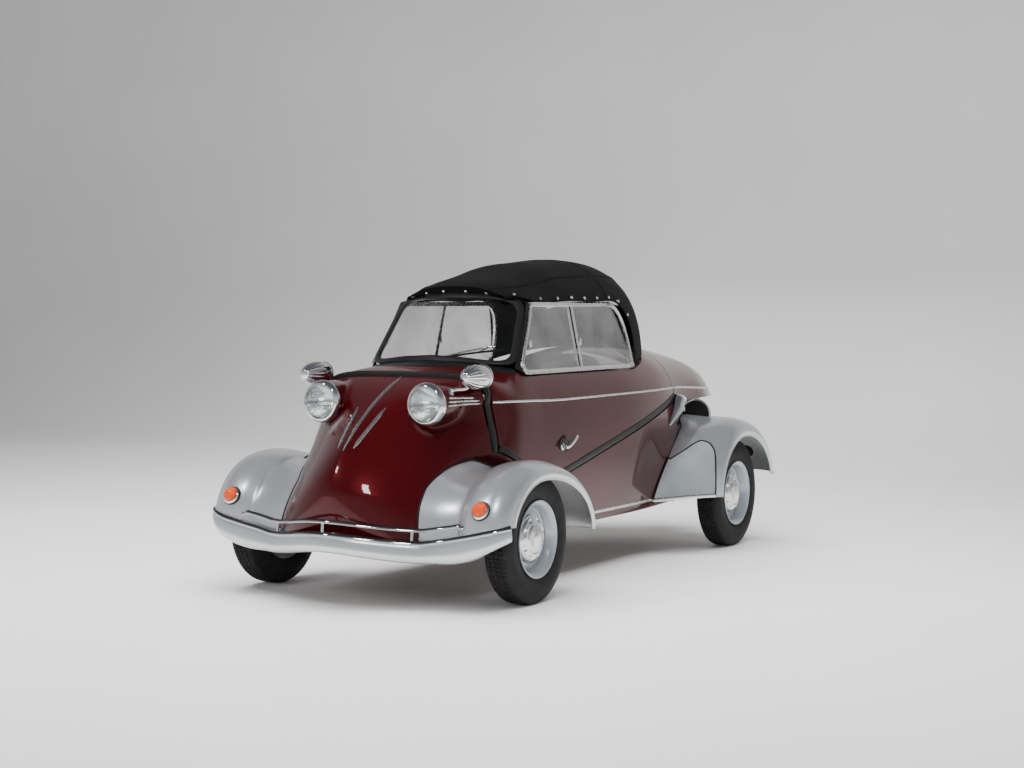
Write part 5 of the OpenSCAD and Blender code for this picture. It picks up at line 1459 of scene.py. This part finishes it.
class BUBBLECAR_OT_trim(Operator):
    """Bright spears on the nose and the belt strips behind the headlights"""

    bl_idname = "bubble_car.trim"
    bl_label = "Bright strips"

    def execute(self, context):
        s = context.scene.bubble_body
        w = s.spear_width / MM
        spears = [spear([(0, -958), (0, -1080), (0, -1200), (0, -1345)], w)]
        side = spear([(60, -1160), (50, -1220), (40, -1280), (32, -1328)], w)
        spears += [side, mirrored(side)]
        for z0, z1, y0, y1 in ((738, 734, -1118, -985), (724, 723, -1124, -968), (710, 712, -1128, -962)):
            y = np.linspace(y0, y1, 60)
            spears += [body_strip(y, lerp(z0, z1, (y - y0) / (y1 - y0)), side, 8, 3.4, skin=flank_x) for side in (1, -1)]
        piece("nose_spears", spears, "body", "aluminium")
        y = np.linspace(LID_Y0 + 2, LID_Y1 - 3, 240)
        z = lerp(BELT_Z + 11, BELT_Z, smooth((y + 900) / 500))
        piece("belt_strip", [body_strip(y, z, 1, s.strip_width / MM, 2.6, False)], "lid", "aluminium")
        piece("belt_strip_right", [body_strip(y, z, -1, s.strip_width / MM, 2.6, False)], "body", "aluminium")
        y = np.linspace(LID_Y1 + 6, 1280, 100)
        z = lerp(BELT_Z, BELT_Z - 22, smooth((y - 680) / 600))
        piece("cover_strips", [body_strip(y, z, side, s.strip_width / MM, 2.6) for side in (1, -1)], "engine_cover", "aluminium")
        return {"FINISHED"}


class BUBBLECAR_OT_lights(Operator):
    """Headlights, indicators and tail lamps"""

    bl_idname = "bubble_car.lights"
    bl_label = "Lights"

    def execute(self, context):
        at, front = LAMP + [0, -0.3, 0], (0, -1, 0)
        rim = lathe([[LAMP_R - 5, -4], [POD_R + 3, -4], [POD_R + 3.6, 0], [POD_R + 2.8, 5], [POD_R + 0.5, 11], [LAMP_R + 1, 18], [LAMP_R - 3, 22],
                     [LAMP_R - 6.5, 22.6], [LAMP_R - 8, 20], [LAMP_R - 8, 8], [LAMP_R - 5, -4]], at, front, 96)
        piece("headlight_bezels", [rim, mirrored(rim)], "body", "chrome", ["headlight_rims"])
        a = np.radians(np.linspace(90, 0, 16))
        r = LAMP_R - 7.5
        dome = np.stack([r * np.cos(a), 12 + 15 * np.sin(a)], 1)
        back = np.stack([r * np.cos(a[::-1]), 9 + 14.4 * np.sin(a[::-1])], 1)
        glass = lathe(np.concatenate([dome, back]), at, front, 96)
        piece("headlight_glasses", [glass, mirrored(glass)], "body", "headlamp", ["headlight_lenses"])
        u = np.linspace(0, 1, 16)
        bowl = np.stack([(LAMP_R - 7) * u, -46 + 54 * u**2], 1)
        outer = np.stack([(LAMP_R - 6) * u[::-1], -49 + 55 * u[::-1] ** 2], 1)
        bowl = lathe(np.concatenate([bowl, outer]), at, front, 96)
        bulb = lathe([[0, 2], [9, -1], [13, -9], [13, -22], [9, -34], [9, -47], [0, -47]], at, front, 32)
        shade = lathe([[0, 8], [14, 6], [17, 1], [16, 0], [13, 4.6], [0, 6.6]], at, front, 40)
        piece("headlight_reflectors", [bowl, mirrored(bowl), shade, mirrored(shade)], "body", "reflector")
        piece("headlight_bulbs", [bulb, mirrored(bulb)], "body", "acrylic")
        for name, at, axis, k, paint, slot in (("indicator", (539.0, -1292.0, 361.0), (0, -0.883, 0.469), 1.0, "amber", "amber_lens"),
                                               ("tail_lamp", (500.0, REAR_AXLE_Y + 279.2, 401.0), (0, 0.883, 0.469), 0.88, "red", "red_lens")):
            gasket = lathe(np.array([[0, -5], [36, -5], [37, -1], [35, 3.4], [0, 3.4]]) * [k, k], at, axis, 64)
            ring = lathe(np.array([[0, 2.6], [33.5, 2.6], [34, 6], [31.5, 9.5], [28, 11], [25.5, 10], [0, 8]]) * [k, k], at, axis, 64)
            a = np.radians(np.linspace(0, 90, 14))
            dome = np.concatenate([[[0, 6], [26.6, 6], [27, 10]], np.stack([27 * np.cos(a) ** 0.8, 12 + 15.6 * np.sin(a)], 1)])
            ridges = lathe(dome * [k, k], at, axis, 96, wobble=lambda r, h, t: r + 0.5 * np.cos(24 * t)[None] * (h > 11.5) * (r > 5))
            cad = {"indicator": "indicators", "tail_lamp": "tail_lamps"}[name]
            piece(f"{name}_lenses", [ridges, mirrored(ridges)], "body", paint, [cad])
            piece(f"{name}_rings", [ring, mirrored(ring)], "body", "chrome")
            piece(f"{name}_gaskets", [gasket, mirrored(gasket)], "body", "rubber")
        return {"FINISHED"}


class BUBBLECAR_OT_mirrors(Operator):
    """Teardrop mirrors on the nose, with a fluted point, and the door handle"""

    bl_idname = "bubble_car.mirrors"
    bl_label = "Mirrors and handle"

    def execute(self, context):
        at = np.array([352.0, -960.0, 811.0])
        h = 46.5
        a = np.radians(np.linspace(0, 90, 34))
        body = np.stack([h * np.cos(a) ** 0.85, 28 + 104 * np.sin(a)], 1)
        profile = np.concatenate([[[0, 3], [h - 6, 3], [h - 5, 0], [h - 2, 0.5], [h, 5], [h, 12], [h - 1.2, 14], [h, 16]], body])
        head = lathe(profile, at, (0, -1, 0), 120, wobble=lambda r, x, t: r * (1 + 0.03 * np.cos(20 * t)[None] * smooth((x - 40) / 20) * (r > 3)))
        glass = lathe([[0, 3.4], [h - 7, 3.4], [h - 7, 1.4], [0, 1.4]], at, (0, -1, 0), 96)
        foot = pod_pt(np.array(radians(55)), np.array(-1090.0))
        stem = spline_rows(np.array([foot, foot + [11, 5, 7], at + [-22, -88, -42], at + [-6, -76, -26]]), 8)
        base = lathe([[0, -5], [15, -5], [15, 1.5], [11, 4], [8, 6], [0, 6]], foot, (0.81, 0, 0.59), 40)
        every = [head, tube(stem, circle(6.5, 14)), base]
        piece("mirror_shells", every + [mirrored(p) for p in every], "body", "chrome", ["mirrors"])
        piece("mirror_glasses", [glass, mirrored(glass)], "body", "reflector")
        x0 = float(side_x(np.array(-474.0), np.array(525.0)))
        x1 = float(side_x(np.array(-440.0), np.array(535.0)))
        path = spline_rows(np.array([[x0 - 3, -474, 525], [x0 + 20, -474, 525], [x0 + 27, -462, 530], [x1 + 30, -432, 546], [x1 + 27, -400, 562]]), 8)
        t = np.linspace(0, 1, len(path))
        ring = circle(1, 16)[None] * np.stack([7 + 3 * t, 8.5 - 3 * t], 1)[:, None]
        boss = lathe([[0, -2], [15, -2], [15, 3], [12, 7], [9, 9], [0, 9]], (x0, -474, 525), (1, 0, 0), 40)
        piece("lid_handle", [tube(path, ring, up=(1, 0, 0)), boss], "lid", "chrome", ["door_handle"])
        a = np.arange(48) * 2 * pi / 48
        oval = np.stack([0 * a, -458 + 44 * np.cos(a) - 0.15 * 26 * np.sin(a), 532 + 26 * np.sin(a)], 1)
        rings = np.stack([np.stack([side_x(*(np.array([-458, 532]) + k * (oval[:, 1:] - [-458, 532])).T) + o, *(np.array([-458, 532]) + k * (oval[:, 1:] - [-458, 532])).T], 1)
                          for k, o in ((1.0, -2.0), (1.0, 2.2), (0.9, 3.4), (0.86, 1.6), (0.4, 0.8), (0.02, 0.8))])
        piece("lid_handle_plate", [rings_solid(rings)], "lid", "rubber")
        return {"FINISHED"}


class BUBBLECAR_OT_cabin(Operator):
    """Two stuffed seats with their backs, piping and plinths"""

    bl_idname = "bubble_car.cabin"
    bl_label = "Cabin"

    def execute(self, context):
        s = context.scene.bubble_cabin
        crown, gap = s.crown / MM, s.channel / MM
        floor = SILL_Z + WALL
        seats = (("front_seat", (0, -155, floor + 136), (404, 424, 84), (0, 55, floor + 330), (404, 392, 64), radians(90 - 14)),
                 ("rear_seat", (0, 365, floor + 171), (574, 244, 74), (0, 488, floor + 356), (534, 392, 56), radians(90 - 10)))
        for name, seat_at, seat, back_at, back, lean in seats:
            lift = -crown * 0.6
            low = turned(cushion_part(seat, crown, gap), (seat_at[0], seat_at[1], seat_at[2] + lift), 0)
            pad = piece(f"{name}_cushion", [low], "body", "vinyl", [name])
            centre = np.array(back_at) + [0, -back[2] * 0.5, 0]
            tall = turned(cushion_part(back, crown * 0.8, gap), (0, 0, 0), pi / 2)
            tall = turned(tall, centre, lean - pi / 2)
            pad = piece(f"{name}_back", [tall], "body", "vinyl")
            a = welt(seat, (seat_at[0], seat_at[1], seat_at[2] + lift), 0)
            piece(f"{name}_welts", [a], "body", "vinyl")
        for name, at, size in (("front", (0, -150, floor + 46), (330, 350, 91)), ("rear", (0, 390, floor + 66), (470, 176, 131))):
            w, d, h = size
            t = np.linspace(0, 1, 40)
            rings = np.stack([np.stack([np.sign(np.cos(a)) * np.abs(np.cos(a)) ** 0.25 * w / 2, np.sign(np.sin(a)) * np.abs(np.sin(a)) ** 0.25 * d / 2, np.full_like(a, z)], 1) + np.array(at)
                              for a, z in ((np.arange(96) * 2 * pi / 96, z) for z in (-h / 2 + 1, 0, h / 2))])
            piece(f"{name}_seat_plinth", [rings_solid(rings)], "body", "crackle")
        return {"FINISHED"}


class BUBBLECAR_OT_wheels(Operator):
    """Four wheels: block-tread tyres, pressed rims and slotted caps"""

    bl_idname = "bubble_car.wheels"
    bl_label = "Wheels"

    def execute(self, context):
        tyre, rim, cap = tyre_parts(), rim_parts(), cap_parts()
        for axle, y, x in (("front", FRONT_AXLE_Y, FRONT_TRACK), ("rear", REAR_AXLE_Y, REAR_TRACK)):
            for side, flip in (("left", False), ("right", True)):
                at = np.array([-x if flip else x, y, TYRE_R])
                body = f"{axle}_wheel_{side}"
                piece(f"{axle}_{side}_tyre_tread", [moved(p, at, flip) for p in tyre], body, "tyre", [f"{axle}_tyre_{side}"], sharp=50)
                piece(f"{axle}_{side}_wheel_rim", [moved(p, at, flip) for p in rim], body, "wheel", [f"{axle}_rim_{side}"])
                piece(f"{axle}_{side}_wheel_cap", [moved(p, at, flip) for p in cap], body, "chrome")
        return {"FINISHED"}


class BUBBLECAR_OT_underbody(Operator):
    """Finishes of the frame's own parts that stay"""

    bl_idname = "bubble_car.underbody"
    bl_label = "Underbody"

    def execute(self, context):
        kept = {"cover_hinge": "burgundy", "cover_lugs": "burgundy", "body_hinges": "burgundy", "lid_hinges": "burgundy", "plate_bracket": "crackle",
                "front_axle_arms": "chassis", "rear_axle": "chassis", "knuckle_left": "chassis", "knuckle_right": "chassis", "engine_block": "alloy",
                "exhaust": "steel", "rear_bulkhead": "crackle", "steering_column": "crackle", "steering_bar": "ivory", "dashboard": "crackle"}
        for name, paint in kept.items():
            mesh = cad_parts[name].data
            mesh.materials.clear()
            mesh.materials.append(material(paint))
        return {"FINISHED"}


class BUBBLECAR_OT_stage(Operator):
    """Pale floor and backdrop, soft studio light and the camera"""

    bl_idname = "bubble_car.stage"
    bl_label = "Stage"

    def execute(self, context):
        s = context.scene.bubble_stage
        half = s.floor / 2
        u = np.linspace(-half, half, 3)
        rise = np.concatenate([[0], 3.0 * (1 - np.cos(np.linspace(0, pi / 2, 13))), [9.0]])
        v = np.concatenate([[-half], 4.5 + 3.0 * np.sin(np.linspace(0, pi / 2, 13)), [7.5]])
        grid = np.stack([u[None] + 0 * v[:, None], v[:, None] + 0 * u[None], rise[:, None] + 0 * u[None]], -1)
        mesh = bpy.data.meshes.new("studio")
        mesh.from_pydata(grid.reshape(-1, 3).tolist(), [], grid_faces(*grid.shape[:2])[:, ::-1].tolist())
        mesh.polygons.foreach_set("use_smooth", np.ones(len(mesh.polygons), bool))
        floor = bpy.data.objects.new("studio_floor", mesh)
        context.scene.collection.objects.link(floor)
        mesh.materials.append(material("floor"))
        lamps = (("key", (0.0, -0.8, 4.6), (0, 0, 0), (6.0, 5.0), s.key_power, False), ("front_fill", (-3.5, -6.5, 2.6), (radians(72), 0, radians(-28)), (3.0, 2.4), 150.0, False),
                 ("side_fill", (6.5, -1.0, 2.4), (radians(74), 0, radians(82)), (4.0, 2.4), 60.0, False), ("back_fill", (-2.0, 6.0, 3.4), (radians(-66), 0, 0), (5.0, 2.0), 150.0, False),
                 ("spot_left", (1.6, -4.2, 4.2), (radians(44), 0, radians(20)), (0.5, 0.5), 45.0, True), ("spot_right", (-1.8, -3.6, 4.2), (radians(40), 0, radians(-26)), (0.5, 0.5), 35.0, True))
        for name, at, turn, size, power, seen in lamps:
            lamp = bpy.data.lights.new(name, "AREA")
            lamp.shape, lamp.size, lamp.size_y, lamp.energy = "RECTANGLE", size[0], size[1], power
            light = bpy.data.objects.new(name, lamp)
            light.location, light.rotation_euler, light.visible_glossy = at, turn, seen
            context.scene.collection.objects.link(light)
        # The studio's air is bright along its walls and darker overhead.
        world = bpy.data.worlds.new("studio_air")
        context.scene.world = world
        world.use_nodes = True
        air = world.node_tree
        height = node(air, "SeparateXYZ", {"Vector": node(air, "TexCoord").outputs["Generated"]})
        ramp = node(air, "ValToRGB", {"Fac": height.outputs["Z"]}, stops=[(0.0, "#f2f2f4"), (0.3, "#dcdcdf"), (0.6, "#8a8a8e"), (1.0, "#6a6a6e")])
        sky = air.nodes["Background"]
        air.links.new(ramp.outputs["Color"], sky.inputs["Color"])
        sky.inputs["Strength"].default_value = 0.8
        cam = bpy.data.cameras.new("camera")
        cam.lens, cam.sensor_width, cam.clip_end = s.lens, 36.0, 100.0
        camera = bpy.data.objects.new("camera", cam)
        camera.location, camera.rotation_euler = s.camera_place, (pi / 2 - 0.0441, 0, 0.5172)
        context.scene.collection.objects.link(camera)
        context.scene.camera = camera
        return {"FINISHED"}


STEPS = (BUBBLECAR_OT_nose, BUBBLECAR_OT_tub, BUBBLECAR_OT_cover, BUBBLECAR_OT_lid, BUBBLECAR_OT_windscreen, BUBBLECAR_OT_side_windows,
         BUBBLECAR_OT_soft_top, BUBBLECAR_OT_fenders, BUBBLECAR_OT_bumper, BUBBLECAR_OT_trim, BUBBLECAR_OT_lights, BUBBLECAR_OT_mirrors,
         BUBBLECAR_OT_cabin, BUBBLECAR_OT_wheels, BUBBLECAR_OT_underbody, BUBBLECAR_OT_stage)
SETTINGS = (("bubble_body", BodySettings), ("bubble_cabin", CabinSettings), ("bubble_stage", StageSettings))


class BUBBLECAR_PT_panel(Panel):
    """Steps and settings of the bubble car"""

    bl_idname = "BUBBLECAR_PT_panel"
    bl_label = "Bubble car"
    bl_space_type = "VIEW_3D"
    bl_region_type = "UI"
    bl_category = "Bubble car"

    def draw(self, context):
        for attribute, group in SETTINGS:
            box = self.layout.box()
            for key in group.__annotations__:
                box.prop(getattr(context.scene, attribute), key)
        for step in STEPS:
            self.layout.operator(step.bl_idname)


def register():
    for cls in (*[group for _, group in SETTINGS], *STEPS, BUBBLECAR_PT_panel):
        bpy.utils.register_class(cls)
    for attribute, group in SETTINGS:
        setattr(bpy.types.Scene, attribute, PointerProperty(type=group))


def unregister():
    for attribute, _ in SETTINGS:
        delattr(bpy.types.Scene, attribute)
    for cls in reversed((*[group for _, group in SETTINGS], *STEPS, BUBBLECAR_PT_panel)):
        bpy.utils.unregister_class(cls)


def main():
    register()
    for step in STEPS:
        getattr(bpy.ops.bubble_car, step.bl_idname.split(".")[1])()


if __name__ == "__main__":
    main()
